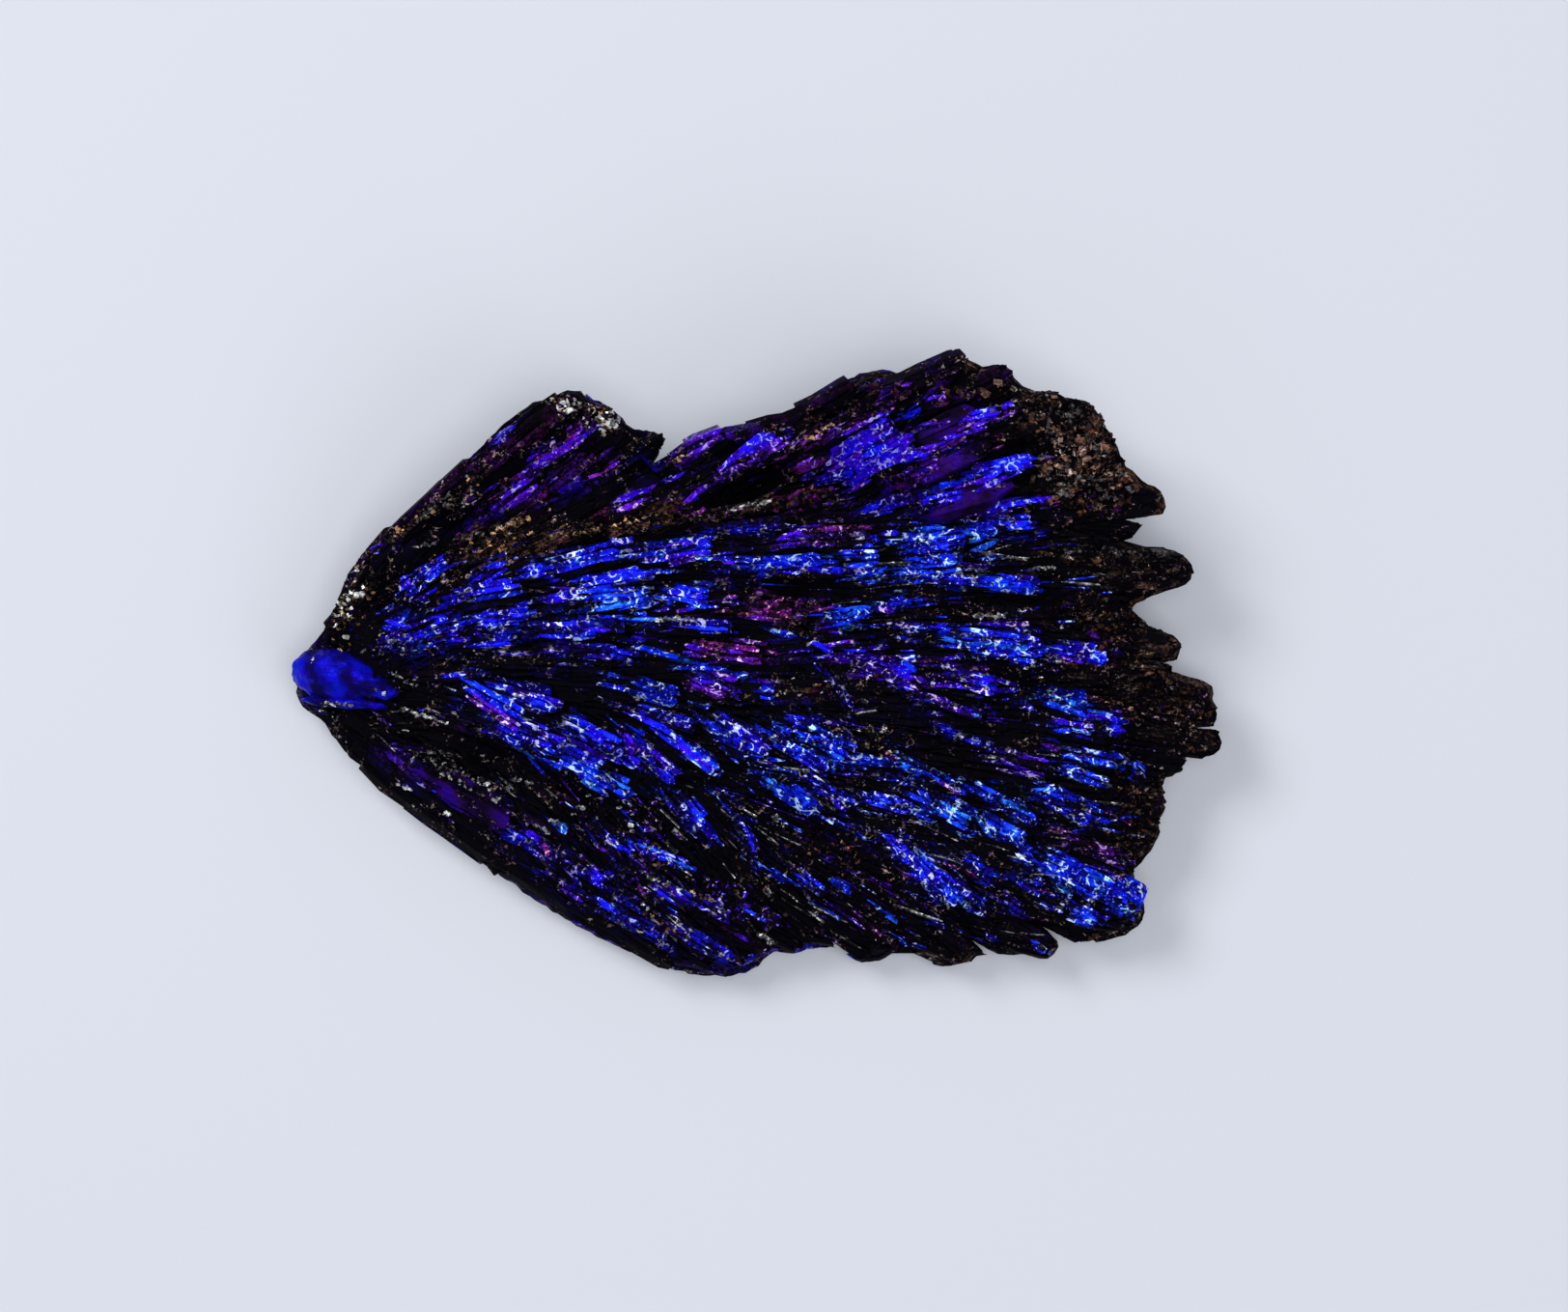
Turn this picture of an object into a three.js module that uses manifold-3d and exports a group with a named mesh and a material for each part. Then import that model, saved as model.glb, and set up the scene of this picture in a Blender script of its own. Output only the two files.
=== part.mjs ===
// Titanium aura kyanite: a natural fan of black kyanite blades, grown together from one root and
// coated with a thin film of titanium. It lies on its lower blades. Millimetres, +Z up. The root is
// at -X, the blades spread towards +X, and the origin is below the middle of the fan, at its lowest.
import * as THREE from "three";
import { mergeVertices } from "three/addons/utils/BufferGeometryUtils.js";
import Module from "manifold-3d";

const wasm = await Module();
wasm.setup();

// Driving dimensions, in millimetres
const MASS_DROP = 0.35; // how far the body blades stay below the crown
const SHINGLE_SINK = 0.55; // how far the root of a top blade lies in the crown
const BLADE_THICKNESS = 1.0; // a top blade's thickness where it is 1 mm wide
const SHORT_BLADE = 4.6; // a top blade shorter than this is straight
const FLAT_SHARE = 0.56; // width of a blade's flat top, as a share of its whole width
const SPOT_FALL_OFF = 4; // how fast a spot height loses its say with distance
const SPOT_SOFTNESS = 0.2; // how much a spot height is blended with the others where it stands
const RESTING_BELOW = 0.5; // where the underside is lower than this, some blades rest on the ground
const UNDERSIDE_STEPS = [-2.0, 1.1, 0.6]; // how each body blade in turn stands there

// Spot heights of the fan: x, y, the crown's height and the underside's height
const SPOTS = [
  // root and its knob
  [-18.6, -0.2, 3.4, 0.7],
  [-17.0, 3.2, 4.8, 1.6],
  [-15.4, -4.0, 3.8, 0.2],
  [-15.5, 0.5, 5.2, 0.1],
  // short wing on the +Y side
  [-15.2, 5.6, 6.2, 2.6],
  [-12.6, 7.6, 7.6, 4.0],
  [-12.6, 5.4, 5.6, 1.0],
  [-9.0, 10.4, 8.4, 5.0],
  [-9.6, 6.9, 6.0, 1.2],
  [-7.4, 8.8, 7.4, 3.2],
  [-5.4, 10.0, 8.0, 5.2],
  [-4.6, 8.2, 6.4, 3.0],
  // crease between the wings and the middle spray
  [-8.0, 5.4, 6.7, 0.2],
  [-3.4, 6.3, 6.9, -0.2],
  [0.4, 6.5, 6.6, 0.0],
  [-0.6, 7.6, 4.8, 0.8],
  [3.4, 8.0, 5.2, 1.2],
  // long wing on the +Y side
  [-2.2, 9.2, 8.0, 4.4],
  [1.6, 9.8, 8.8, 4.8],
  [4.8, 11.6, 9.2, 6.2],
  [8.4, 12.4, 9.4, 6.8],
  [7.2, 9.2, 8.5, 3.6],
  [11.2, 11.0, 9.0, 6.2],
  [14.2, 9.8, 8.4, 5.8],
  [10.4, 7.6, 7.2, 2.8],
  [15.8, 7.3, 7.0, 4.4],
  // middle spray
  [-11.0, 3.0, 6.8, 0.0],
  [-6.0, 3.4, 7.2, -0.3],
  [-1.4, 4.6, 6.9, -0.3],
  [1.2, 3.5, 5.4, -0.2],
  [3.4, 4.4, 6.5, 0.0],
  [8.0, 4.9, 6.4, 1.0],
  [10.6, 3.8, 6.0, 1.4],
  [10.4, 2.9, 4.8, 0.8],
  [14.4, 4.2, 6.0, 3.0],
  [17.6, 4.2, 5.8, 3.6],
  [-6.0, 0.2, 6.2, -0.3],
  [0.0, 1.0, 5.9, -0.3],
  [5.8, 1.2, 5.5, 0.0],
  [10.4, 1.0, 5.6, 0.6],
  [10.6, -0.6, 4.3, 0.4],
  [14.0, 0.8, 5.3, 2.0],
  [17.2, 0.9, 4.9, 2.8],
  [13.6, -1.4, 4.9, 1.2],
  [16.8, -0.9, 4.0, 2.2],
  [18.9, -1.4, 4.5, 2.4],
  [16.6, -2.5, 3.4, 1.4],
  [19.2, -3.0, 4.2, 2.4],
  // lower spray, which lies on the ground
  [-12.6, -1.4, 5.6, 0.0],
  [-8.6, -2.6, 5.7, -0.2],
  [-4.0, -3.0, 5.4, -0.3],
  [0.2, -3.0, 5.2, -0.3],
  [4.2, -2.6, 5.1, -0.3],
  [8.6, -2.8, 4.8, 0.0],
  [6.0, -4.8, 4.7, -0.2],
  [10.0, -5.4, 4.5, 0.2],
  [14.0, -4.4, 4.6, 0.8],
  [16.8, -5.2, 4.0, 1.6],
  [15.6, -7.2, 3.8, 0.9],
  [-10.2, -4.6, 3.7, 0.0],
  [-6.6, -5.8, 3.5, 0.0],
  [-2.6, -6.0, 4.3, -0.2],
  [-3.0, -7.6, 3.3, 0.0],
  [1.4, -6.8, 3.9, -0.2],
  [7.4, -8.2, 4.3, -0.2],
  [12.8, -8.8, 4.2, 0.2],
  [15.8, -10.2, 3.4, 0.6],
  // long dark side wall and the ragged lower rim
  [-13.4, -5.4, 3.9, 0.0],
  [-9.4, -7.6, 3.6, -0.2],
  [-5.2, -10.2, 3.2, -0.2],
  [-1.4, -12.2, 2.5, 0.0],
  [1.6, -10.6, 2.7, 0.0],
  [4.8, -11.6, 2.5, 0.2],
  [8.4, -11.8, 2.5, 0.2],
  [12.2, -11.4, 2.6, 0.4],
];

// Rounded lobes of the root: x, y, z of the middle, the three half-widths, and the number of
// facets round it
const ROOT_LOBES = [
  [-14.6, 0.2, 2.3, 3.9, 5.3, 2.7, 16],
  [-17.0, -0.15, 2.5, 2.5, 1.35, 1.5, 12],
];

// Body blades, which carry the others and end in the fan's rim: root x, y, a middle point x, y,
// tip x, y, width, kind of end
const BODY = [
  // short wing
  [-16.8, 2.6, -12.7, 6.7, -7.5, 11.0, 1.7, "broken"],
  [-16.6, 2.0, -12.0, 5.6, -5.6, 10.2, 1.8, "broken"],
  [-16.4, 1.8, -10.6, 5.0, -3.8, 9.6, 1.9, "sharp"],
  [-16.0, 1.4, -10.0, 4.4, -4.6, 7.8, 1.9, "broken"],
  // crease
  [-16.4, 1.2, -8.6, 5.0, -2.4, 6.4, 1.9, "broken"],
  // long wing
  [-9.4, 4.6, -3.2, 8.1, 1.7, 9.7, 1.8, "broken"],
  [-7.0, 5.2, -0.2, 8.6, 5.4, 11.4, 1.7, "broken"],
  [-5.0, 5.8, 2.2, 8.7, 8.5, 12.2, 1.8, "broken"],
  [-3.0, 6.0, 4.2, 8.6, 10.4, 11.7, 1.8, "broken"],
  [-1.0, 6.2, 6.0, 8.6, 12.6, 10.8, 1.7, "broken"],
  [0.0, 6.2, 7.4, 8.2, 14.2, 9.9, 1.7, "broken"],
  [1.0, 6.0, 8.0, 7.4, 14.7, 8.7, 1.7, "broken"],
  [2.0, 5.6, 9.0, 6.8, 15.6, 7.7, 1.3, "broken"],
  [4.0, 5.6, 11.0, 6.5, 16.8, 7.0, 1.3, "round"],
  [7.0, 5.2, 12.0, 5.8, 15.9, 5.75, 0.7, "broken"],
  // middle spray
  [-17.0, 1.0, -9.0, 4.3, 0.0, 5.0, 2.2, "broken"],
  [-4.0, 4.8, 5.0, 5.6, 14.9, 5.2, 1.6, "broken"],
  [3.0, 4.2, 11.0, 4.5, 18.15, 4.15, 1.9, "round"],
  [-17.5, 0.7, -9.0, 2.6, 2.0, 3.0, 2.4, "broken"],
  [-2.4, 3.5, 7.0, 3.4, 15.7, 2.8, 1.9, "broken"],
  [0.0, 2.3, 9.0, 2.4, 16.3, 2.0, 1.3, "broken"],
  [-18.0, 0.3, -9.0, 1.0, 4.0, 1.6, 2.4, "broken"],
  [2.0, 1.2, 9.0, 1.3, 17.75, 0.95, 1.3, "round"],
  [-18.0, 0.0, -8.0, -0.4, 6.0, -0.5, 2.6, "broken"],
  [2.0, 0.2, 11.0, 0.0, 17.4, -0.1, 1.2, "broken"],
  [4.0, -0.2, 12.0, -0.6, 19.25, -1.4, 1.7, "round"],
  [0.0, -0.9, 11.0, -1.7, 19.5, -2.95, 1.6, "round"],
  [-18.0, -0.4, -8.0, -1.8, 3.0, -3.2, 2.6, "broken"],
  // lower spray
  [0.0, -1.8, 9.0, -2.8, 17.9, -3.85, 1.5, "broken"],
  [-1.0, -2.4, 8.0, -4.0, 17.1, -5.0, 1.7, "broken"],
  [-2.0, -2.8, 8.0, -5.0, 17.1, -5.95, 1.2, "broken"],
  [-4.0, -2.6, 8.0, -5.7, 16.7, -7.1, 1.7, "broken"],
  [-4.6, -3.2, 7.0, -6.6, 15.8, -8.5, 1.9, "broken"],
  [-4.6, -4.2, 6.6, -7.3, 16.1, -10.0, 2.1, "broken"],
  [-1.0, -4.8, 6.0, -7.9, 14.6, -10.9, 1.7, "broken"],
  [-2.0, -4.8, 5.0, -8.5, 12.6, -11.7, 1.4, "broken"],
  [-2.0, -5.0, 4.0, -8.8, 10.6, -11.6, 1.4, "broken"],
  [-2.0, -5.0, 3.0, -8.8, 8.9, -12.0, 1.5, "broken"],
  [-3.0, -5.0, 1.6, -9.0, 6.9, -11.6, 1.6, "broken"],
  [-3.4, -5.0, 0.4, -9.0, 4.9, -11.9, 1.6, "broken"],
  [-5.0, -5.0, -1.6, -8.6, 2.2, -11.3, 2.0, "broken"],
  [-8.0, -4.0, -4.2, -8.0, -0.1, -12.0, 2.2, "broken"],
  [-11.0, -3.6, -6.6, -8.2, -1.0, -12.15, 1.9, "broken"],
  // side wall
  [-16.8, -2.9, -11.5, -6.55, -3.0, -11.95, 2.0, "broken"],
  [-17.0, -1.6, -12.2, -4.8, -6.0, -9.6, 2.6, "broken"],
  [-17.4, -1.0, -11.0, -3.0, -5.0, -7.4, 2.8, "broken"],
  [-17.4, -0.6, -10.0, -2.0, -3.0, -5.4, 2.8, "broken"],
];

// Top blades, laid over the body like shingles: root x, y, tip x, y, width, how far the tip stands
// above the crown, kind of end
const TOP = [
  // root
  [-18.2, 1.6, -15.6, 3.6, 0.9, 0.3, "round"],
  [-15.4, 2.0, -12.8, 4.4, 0.8, 0.35, "round"],
  [-16.2, 0.6, -12.6, 2.0, 0.9, 0.3, "round"],
  [-15.6, -0.3, -11.2, -0.1, 0.9, 0.3, "broken"],
  [-15.2, -1.4, -11.8, -2.4, 0.9, 0.3, "broken"],
  // short wing
  [-15.6, 4.9, -10.8, 9.0, 0.9, 0.35, "broken"],
  [-12.4, 7.4, -7.4, 11.1, 1.0, 0.4, "broken"],
  [-13.2, 4.9, -9.4, 7.9, 0.8, 0.3, "broken"],
  [-10.8, 7.4, -6.4, 10.2, 0.9, 0.3, "broken"],
  [-10.0, 6.4, -6.4, 8.9, 0.8, 0.3, "broken"],
  [-8.6, 7.2, -3.75, 9.7, 0.6, 0.3, "sharp"],
  // crease
  [-11.2, 4.4, -6.4, 5.9, 0.7, 0.35, "broken"],
  [-7.2, 5.3, -3.2, 6.3, 0.8, 0.45, "broken"],
  [-3.8, 6.1, 1.4, 7.0, 0.6, 0.5, "broken"],
  [-0.4, 6.3, 3.4, 7.6, 0.7, 0.4, "broken"],
  // long wing
  [-4.2, 7.9, -1.2, 9.8, 0.9, 0.3, "broken"],
  [-2.6, 7.3, 1.2, 9.5, 0.8, 0.2, "broken"],
  [-0.8, 9.2, 4.2, 11.7, 0.8, 0.3, "broken"],
  [1.2, 8.8, 6.4, 11.5, 0.9, 0.45, "broken"],
  [3.2, 10.4, 8.6, 12.6, 0.9, 0.25, "broken"],
  [2.6, 8.2, 5.6, 10.0, 1.0, 0.5, "broken"],
  [3.2, 7.6, 6.6, 9.0, 0.9, 0.4, "broken"],
  [4.6, 8.4, 8.9, 10.5, 1.7, 0.5, "broken"],
  [6.6, 10.4, 10.4, 12.1, 0.9, 0.3, "broken"],
  [7.2, 9.4, 10.6, 10.6, 0.8, 0.35, "broken"],
  [5.6, 7.2, 9.6, 9.4, 0.9, 0.35, "broken"],
  [7.2, 7.6, 11.6, 8.6, 0.8, 0.4, "broken"],
  [6.2, 6.6, 10.4, 7.8, 0.9, 0.35, "broken"],
  [7.2, 6.4, 11.7, 7.0, 0.6, 0.35, "broken"],
  [7.6, 5.9, 11.6, 6.1, 0.6, 0.35, "broken"],
  [9.8, 10.0, 13.9, 10.6, 0.9, 0.25, "broken"],
  [10.4, 8.8, 14.7, 9.3, 0.9, 0.25, "broken"],
  [10.8, 7.4, 15.5, 8.0, 0.9, 0.25, "broken"],
  // upper rows of the middle spray
  [-10.6, 3.6, -5.6, 4.9, 0.9, 0.4, "round"],
  [-6.6, 4.6, -1.8, 5.1, 1.1, 0.5, "round"],
  [-9.6, 2.9, -4.0, 4.0, 1.0, 0.45, "broken"],
  [-8.6, 2.5, -4.1, 3.1, 0.9, 0.55, "broken"],
  [-5.6, 3.5, -1.9, 2.9, 0.9, 0.2, "round"],
  [-3.0, 5.7, 1.4, 6.0, 0.7, 0.3, "broken"],
  [-0.6, 5.2, 4.9, 5.5, 1.0, 0.35, "broken"],
  [-1.4, 4.3, 3.6, 4.2, 0.8, 0.5, "round"],
  [2.2, 4.6, 5.1, 4.7, 1.2, 0.55, "round"],
  [4.6, 4.8, 8.7, 5.0, 1.6, 0.5, "broken"],
  [5.6, 6.0, 9.9, 5.7, 0.9, 0.4, "round"],
  [-5.8, 2.1, -0.8, 1.7, 0.8, 0.4, "broken"],
  [-10.4, 1.7, -5.2, 1.8, 1.0, 0.45, "broken"],
  [-9.6, 1.0, -5.1, 0.6, 0.9, 0.4, "broken"],
  [-3.4, 1.2, 0.4, 0.6, 1.2, 0.15, "broken"],
  [-1.2, 2.8, 2.3, 2.2, 1.4, 0.25, "broken"],
  [1.8, 2.1, 4.8, 2.4, 0.7, 0.5, "round"],
  [7.6, 3.8, 11.7, 3.4, 0.7, 0.55, "round"],
  // bundle towards the right-hand fingers
  [6.6, 2.4, 12.4, 2.3, 0.8, 0.3, "broken"],
  [6.8, 1.3, 11.9, 0.8, 1.6, 0.5, "round"],
  [7.0, 0.1, 10.1, -0.7, 1.3, 0.6, "round"],
  [10.8, 1.2, 14.6, 0.6, 0.9, 0.3, "broken"],
  [3.2, 0.6, 7.0, -0.6, 1.3, 0.25, "broken"],
  [6.0, -0.8, 9.5, -2.0, 0.6, 0.5, "broken"],
  [10.6, -0.9, 13.7, -1.7, 0.9, 0.5, "round"],
  [5.8, -1.8, 9.5, -3.2, 0.6, 0.45, "broken"],
  [11.4, -1.9, 15.4, -2.4, 1.0, 0.35, "broken"],
  // big blue blades of the lower left
  [-12.8, -0.2, -8.0, -1.6, 1.2, 0.4, "broken"],
  [-10.0, -1.2, -5.4, -3.6, 1.4, 0.5, "broken"],
  [-12.4, -1.6, -7.6, -3.3, 1.3, 0.35, "broken"],
  [-9.4, -2.8, -5.2, -5.0, 1.2, 0.45, "broken"],
  [-7.4, -0.2, -3.1, -1.1, 0.9, 0.55, "round"],
  [-7.2, -0.9, -2.4, -2.5, 0.8, 0.3, "broken"],
  [-6.2, -1.9, -3.4, -4.7, 0.8, 0.4, "round"],
  [-5.0, -1.9, -1.3, -4.4, 0.8, 0.35, "broken"],
  // centre of the lower spray
  [-3.6, 0.0, -0.6, -1.0, 1.2, 0.3, "broken"],
  [-3.6, -1.2, 0.7, -3.5, 1.4, 0.5, "broken"],
  [-0.6, -1.9, 3.5, -4.1, 1.0, 0.5, "broken"],
  [0.6, -1.4, 4.4, -3.3, 1.1, 0.5, "broken"],
  [2.1, 0.8, 4.1, -2.0, 0.5, 0.4, "broken"],
  [0.2, -4.1, 2.8, -5.9, 1.0, 0.55, "round"],
  [1.6, -4.0, 4.0, -5.9, 0.9, 0.4, "broken"],
  [3.4, -5.0, 6.6, -5.9, 0.8, 0.4, "round"],
  [-1.8, -4.6, 0.1, -8.0, 0.8, 0.4, "broken"],
  [-3.7, -5.0, -2.3, -6.7, 1.4, 0.5, "round"],
  [4.6, -3.0, 8.6, -5.1, 0.6, 0.5, "broken"],
  [4.8, -4.1, 8.9, -6.4, 1.1, 0.5, "broken"],
  [7.6, -4.1, 11.6, -6.5, 0.8, 0.55, "round"],
  [7.4, -5.2, 11.2, -7.3, 0.9, 0.35, "round"],
  [10.4, -4.4, 14.3, -6.2, 1.3, 0.45, "broken"],
  [9.2, -3.3, 12.6, -4.2, 0.7, 0.3, "broken"],
  [11.8, -3.1, 15.2, -3.9, 0.7, 0.45, "broken"],
  [11.6, -3.8, 14.9, -4.9, 0.6, 0.5, "broken"],
  [4.8, -6.4, 8.9, -9.8, 1.6, 0.5, "broken"],
  [6.8, -6.6, 10.0, -9.0, 1.1, 0.35, "broken"],
  [10.6, -7.2, 14.2, -9.2, 1.5, 0.4, "broken"],
  [12.0, -7.9, 16.2, -10.2, 1.4, 0.4, "broken"],
  [11.2, -8.8, 14.2, -10.7, 1.0, 0.3, "broken"],
  [11.2, -6.4, 15.6, -8.2, 1.0, 0.3, "broken"],
  [8.6, -8.8, 11.4, -10.4, 0.9, 0.3, "broken"],
  // lower rim
  [1.0, -7.7, 3.0, -9.5, 0.9, 0.4, "broken"],
  [2.6, -8.4, 6.0, -10.8, 0.8, 0.35, "broken"],
  [3.4, -9.6, 6.1, -11.8, 0.7, 0.25, "broken"],
  [6.0, -9.2, 9.0, -11.8, 1.0, 0.3, "broken"],
  [9.4, -9.8, 12.5, -11.9, 1.0, 0.3, "broken"],
  [-1.6, -9.4, 1.1, -10.7, 0.8, 0.35, "broken"],
  [-2.4, -10.1, 0.6, -11.8, 0.9, 0.3, "broken"],
  // hollow and side wall of the lower left
  [-11.0, -4.2, -7.1, -5.9, 0.7, 0.6, "broken"],
  [-15.6, -3.4, -10.2, -6.2, 1.5, 0.3, "broken"],
  [-11.4, -5.6, -7.6, -7.0, 0.7, 0.4, "broken"],
  [-10.6, -6.3, -6.2, -9.0, 1.2, 0.35, "broken"],
  [-7.6, -6.2, -2.4, -8.5, 0.8, 0.55, "broken"],
  [-6.8, -7.6, -1.2, -10.5, 0.8, 0.5, "broken"],
  [-9.0, -8.6, -3.8, -11.4, 1.0, 0.35, "broken"],
  [-5.6, -9.6, -1.0, -12.3, 0.9, 0.35, "broken"],
];

// Rings of a blade for each kind of end: place along the blade, share of its width, share of its
// thickness. A short blade leaves out the second ring.
const ENDS = {
  broken: [[0, 0.5, 0.6], [0.55, 1, 1], [1, 0.92, 0.9]],
  round: [[0, 0.5, 0.6], [0.6, 1, 1], [0.9, 0.94, 0.95], [1, 0.5, 0.6]],
  sharp: [[0, 0.5, 0.6], [0.6, 1, 1], [1, 0.16, 0.4]],
};

const GROUND = { normal: [0, 0, 1], height: 0 };

// Height at a place: the spot heights, each weighted by how near it is.
function heightAt(x, y, column) {
  let sum = 0;
  let weights = 0;
  for (const spot of SPOTS) {
    const distance = Math.hypot(x - spot[0], y - spot[1]);
    const weight = 1 / (distance ** SPOT_FALL_OFF + SPOT_SOFTNESS);
    sum += weight * spot[column];
    weights += weight;
  }
  return sum / weights;
}

const crownAt = (x, y) => heightAt(x, y, 2);
const undersideAt = (x, y) => heightAt(x, y, 3);

function solidOf(geometry) {
  return new wasm.Manifold(
    new wasm.Mesh({
      numProp: 3,
      vertProperties: geometry.attributes.position.array,
      triVerts: new Uint32Array(geometry.index.array),
    }),
  );
}

function bare(geometry) {
  geometry.deleteAttribute("normal");
  geometry.deleteAttribute("uv");
  return mergeVertices(geometry);
}

// A blade's cross-section, 1 wide and 1 deep: a flat top at 0 between two sloping sides.
function bladeSection() {
  const flat = FLAT_SHARE / 2;
  return new THREE.Shape([
    new THREE.Vector2(-0.5, -1),
    new THREE.Vector2(0.5, -1),
    new THREE.Vector2(flat, 0),
    new THREE.Vector2(-flat, 0),
  ]);
}

// A straight prism of the section with the given number of rings, bent onto its place by a rule
// that gives the point for a ring, an offset across and a depth.
function bladeSolid(ringCount, place) {
  const prism = bare(
    new THREE.ExtrudeGeometry(bladeSection(), {
      depth: ringCount - 1,
      steps: ringCount - 1,
      bevelEnabled: false,
    }),
  );
  const position = prism.attributes.position;
  for (let i = 0; i < position.count; i++) {
    const ring = Math.round(position.getZ(i));
    const point = place(ring, position.getX(i), -position.getY(i));
    position.setXYZ(i, point.x, point.y, point.z);
  }
  return solidOf(prism);
}

// A deep blade of the body, which fills from the underside to just below the crown.
function bodyBlade([rootX, rootY, middleX, middleY, tipX, tipY, width, end], index) {
  const step = UNDERSIDE_STEPS[index % UNDERSIDE_STEPS.length];
  const path = new THREE.QuadraticBezierCurve(
    new THREE.Vector2(rootX, rootY),
    new THREE.Vector2(
      2 * middleX - (rootX + tipX) / 2,
      2 * middleY - (rootY + tipY) / 2,
    ),
    new THREE.Vector2(tipX, tipY),
  );
  const tipRings = ENDS[end].slice(1);
  const rings = [[0, 0.8], [tipRings[0][0], 1.1]];
  for (const [place, share] of tipRings.slice(1)) rings.push([place, share]);
  return bladeSolid(rings.length, (ring, across, depth) => {
    const [along, widthShare] = rings[ring];
    const point = path.getPoint(along);
    const side = path.getTangent(along).rotateAround(new THREE.Vector2(), Math.PI / 2);
    const top = crownAt(point.x, point.y) - MASS_DROP;
    const under = undersideAt(point.x, point.y);
    const bottom = under < RESTING_BELOW ? under + step : under;
    return new THREE.Vector3(
      point.x + side.x * across * width * widthShare,
      point.y + side.y * across * width * widthShare,
      top - (top - bottom) * depth,
    );
  });
}

// A shallow blade of the crown: its root lies in the crown, and its tip stands above it.
function topBlade([rootX, rootY, tipX, tipY, width, lift, end]) {
  const root = new THREE.Vector2(rootX, rootY);
  const tip = new THREE.Vector2(tipX, tipY);
  const isShort = root.distanceTo(tip) < SHORT_BLADE;
  const rings = ENDS[end].filter((ring, place) => !(isShort && place === 1));
  const side = tip.clone().sub(root).normalize().rotateAround(new THREE.Vector2(), Math.PI / 2);
  const thickness = BLADE_THICKNESS * Math.sqrt(width);
  const rootTop = crownAt(rootX, rootY) - SHINGLE_SINK;
  const tipTop = crownAt(tipX, tipY) + lift;
  return bladeSolid(rings.length, (ring, across, depth) => {
    const [along, widthShare, depthShare] = rings[ring];
    const point = root.clone().lerp(tip, along);
    const middleTop = crownAt(point.x, point.y) + lift * along - SHINGLE_SINK * (1 - along);
    const straightTop = THREE.MathUtils.lerp(rootTop, tipTop, along);
    const top = Math.max(middleTop, straightTop);
    return new THREE.Vector3(
      point.x + side.x * across * width * widthShare,
      point.y + side.y * across * width * widthShare,
      top - thickness * depthShare * depth,
    );
  });
}

function rootLobe([x, y, z, halfX, halfY, halfZ, facets]) {
  const geometry = bare(new THREE.SphereGeometry(1, facets, facets / 2));
  geometry.rotateY(Math.PI / 2);
  geometry.scale(halfX, halfY, halfZ);
  geometry.translate(x, y, z);
  return solidOf(geometry);
}

// The fan: every blade and lump joined, cut flat where it rests on the ground. Of the closed
// skins that this leaves, the biggest is the outside, so gaps sealed between blades are filled.
function fanSolid() {
  const grown = wasm.Manifold.union([
    ...BODY.map(bodyBlade),
    ...TOP.map(topBlade),
    ...ROOT_LOBES.map(rootLobe),
  ]);
  const skins = grown.trimByPlane(GROUND.normal, GROUND.height).decompose();
  return skins.reduce((most, skin) => (skin.volume() > most.volume() ? skin : most));
}

function fanGeometry() {
  const mesh = fanSolid().getMesh();
  const geometry = new THREE.BufferGeometry();
  geometry.setAttribute("position", new THREE.BufferAttribute(mesh.vertProperties, 3));
  geometry.setIndex(new THREE.BufferAttribute(mesh.triVerts, 1));
  geometry.computeBoundingBox();
  const middle = geometry.boundingBox.getCenter(new THREE.Vector3());
  geometry.translate(-middle.x, -middle.y, 0);
  geometry.computeVertexNormals();
  return geometry;
}

const titaniumAura = new THREE.MeshStandardMaterial({
  color: 0x1c1f6e,
  roughness: 0.35,
  metalness: 0.9,
});

const kyaniteFan = new THREE.Mesh(fanGeometry(), titaniumAura);
kyaniteFan.name = "kyanite_fan";

const part = new THREE.Group();
part.add(kyaniteFan);

export default part;
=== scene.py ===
import math

import bmesh
import bpy
import numpy as np
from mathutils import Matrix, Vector, noise


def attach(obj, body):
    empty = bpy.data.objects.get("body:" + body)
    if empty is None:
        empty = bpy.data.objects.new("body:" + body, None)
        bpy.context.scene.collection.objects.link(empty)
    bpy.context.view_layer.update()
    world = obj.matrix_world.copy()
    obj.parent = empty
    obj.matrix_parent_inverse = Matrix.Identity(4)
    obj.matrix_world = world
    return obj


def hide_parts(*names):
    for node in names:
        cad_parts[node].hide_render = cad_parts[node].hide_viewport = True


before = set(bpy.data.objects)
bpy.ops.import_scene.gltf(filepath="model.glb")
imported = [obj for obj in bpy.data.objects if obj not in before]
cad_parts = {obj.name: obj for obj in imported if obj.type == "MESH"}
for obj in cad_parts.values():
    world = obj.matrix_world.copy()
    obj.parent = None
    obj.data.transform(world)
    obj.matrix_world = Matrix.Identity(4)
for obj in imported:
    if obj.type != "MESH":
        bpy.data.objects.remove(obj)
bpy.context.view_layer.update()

# Root and knob. Every blade of the fan starts from this rounded root of solid kyanite. Its smooth
# royal-blue knob is where the fan broke off its rock, and fine sparkling grain covers its slopes.
# The same titanium film as on the blades was fused over it in a vacuum furnace.

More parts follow.
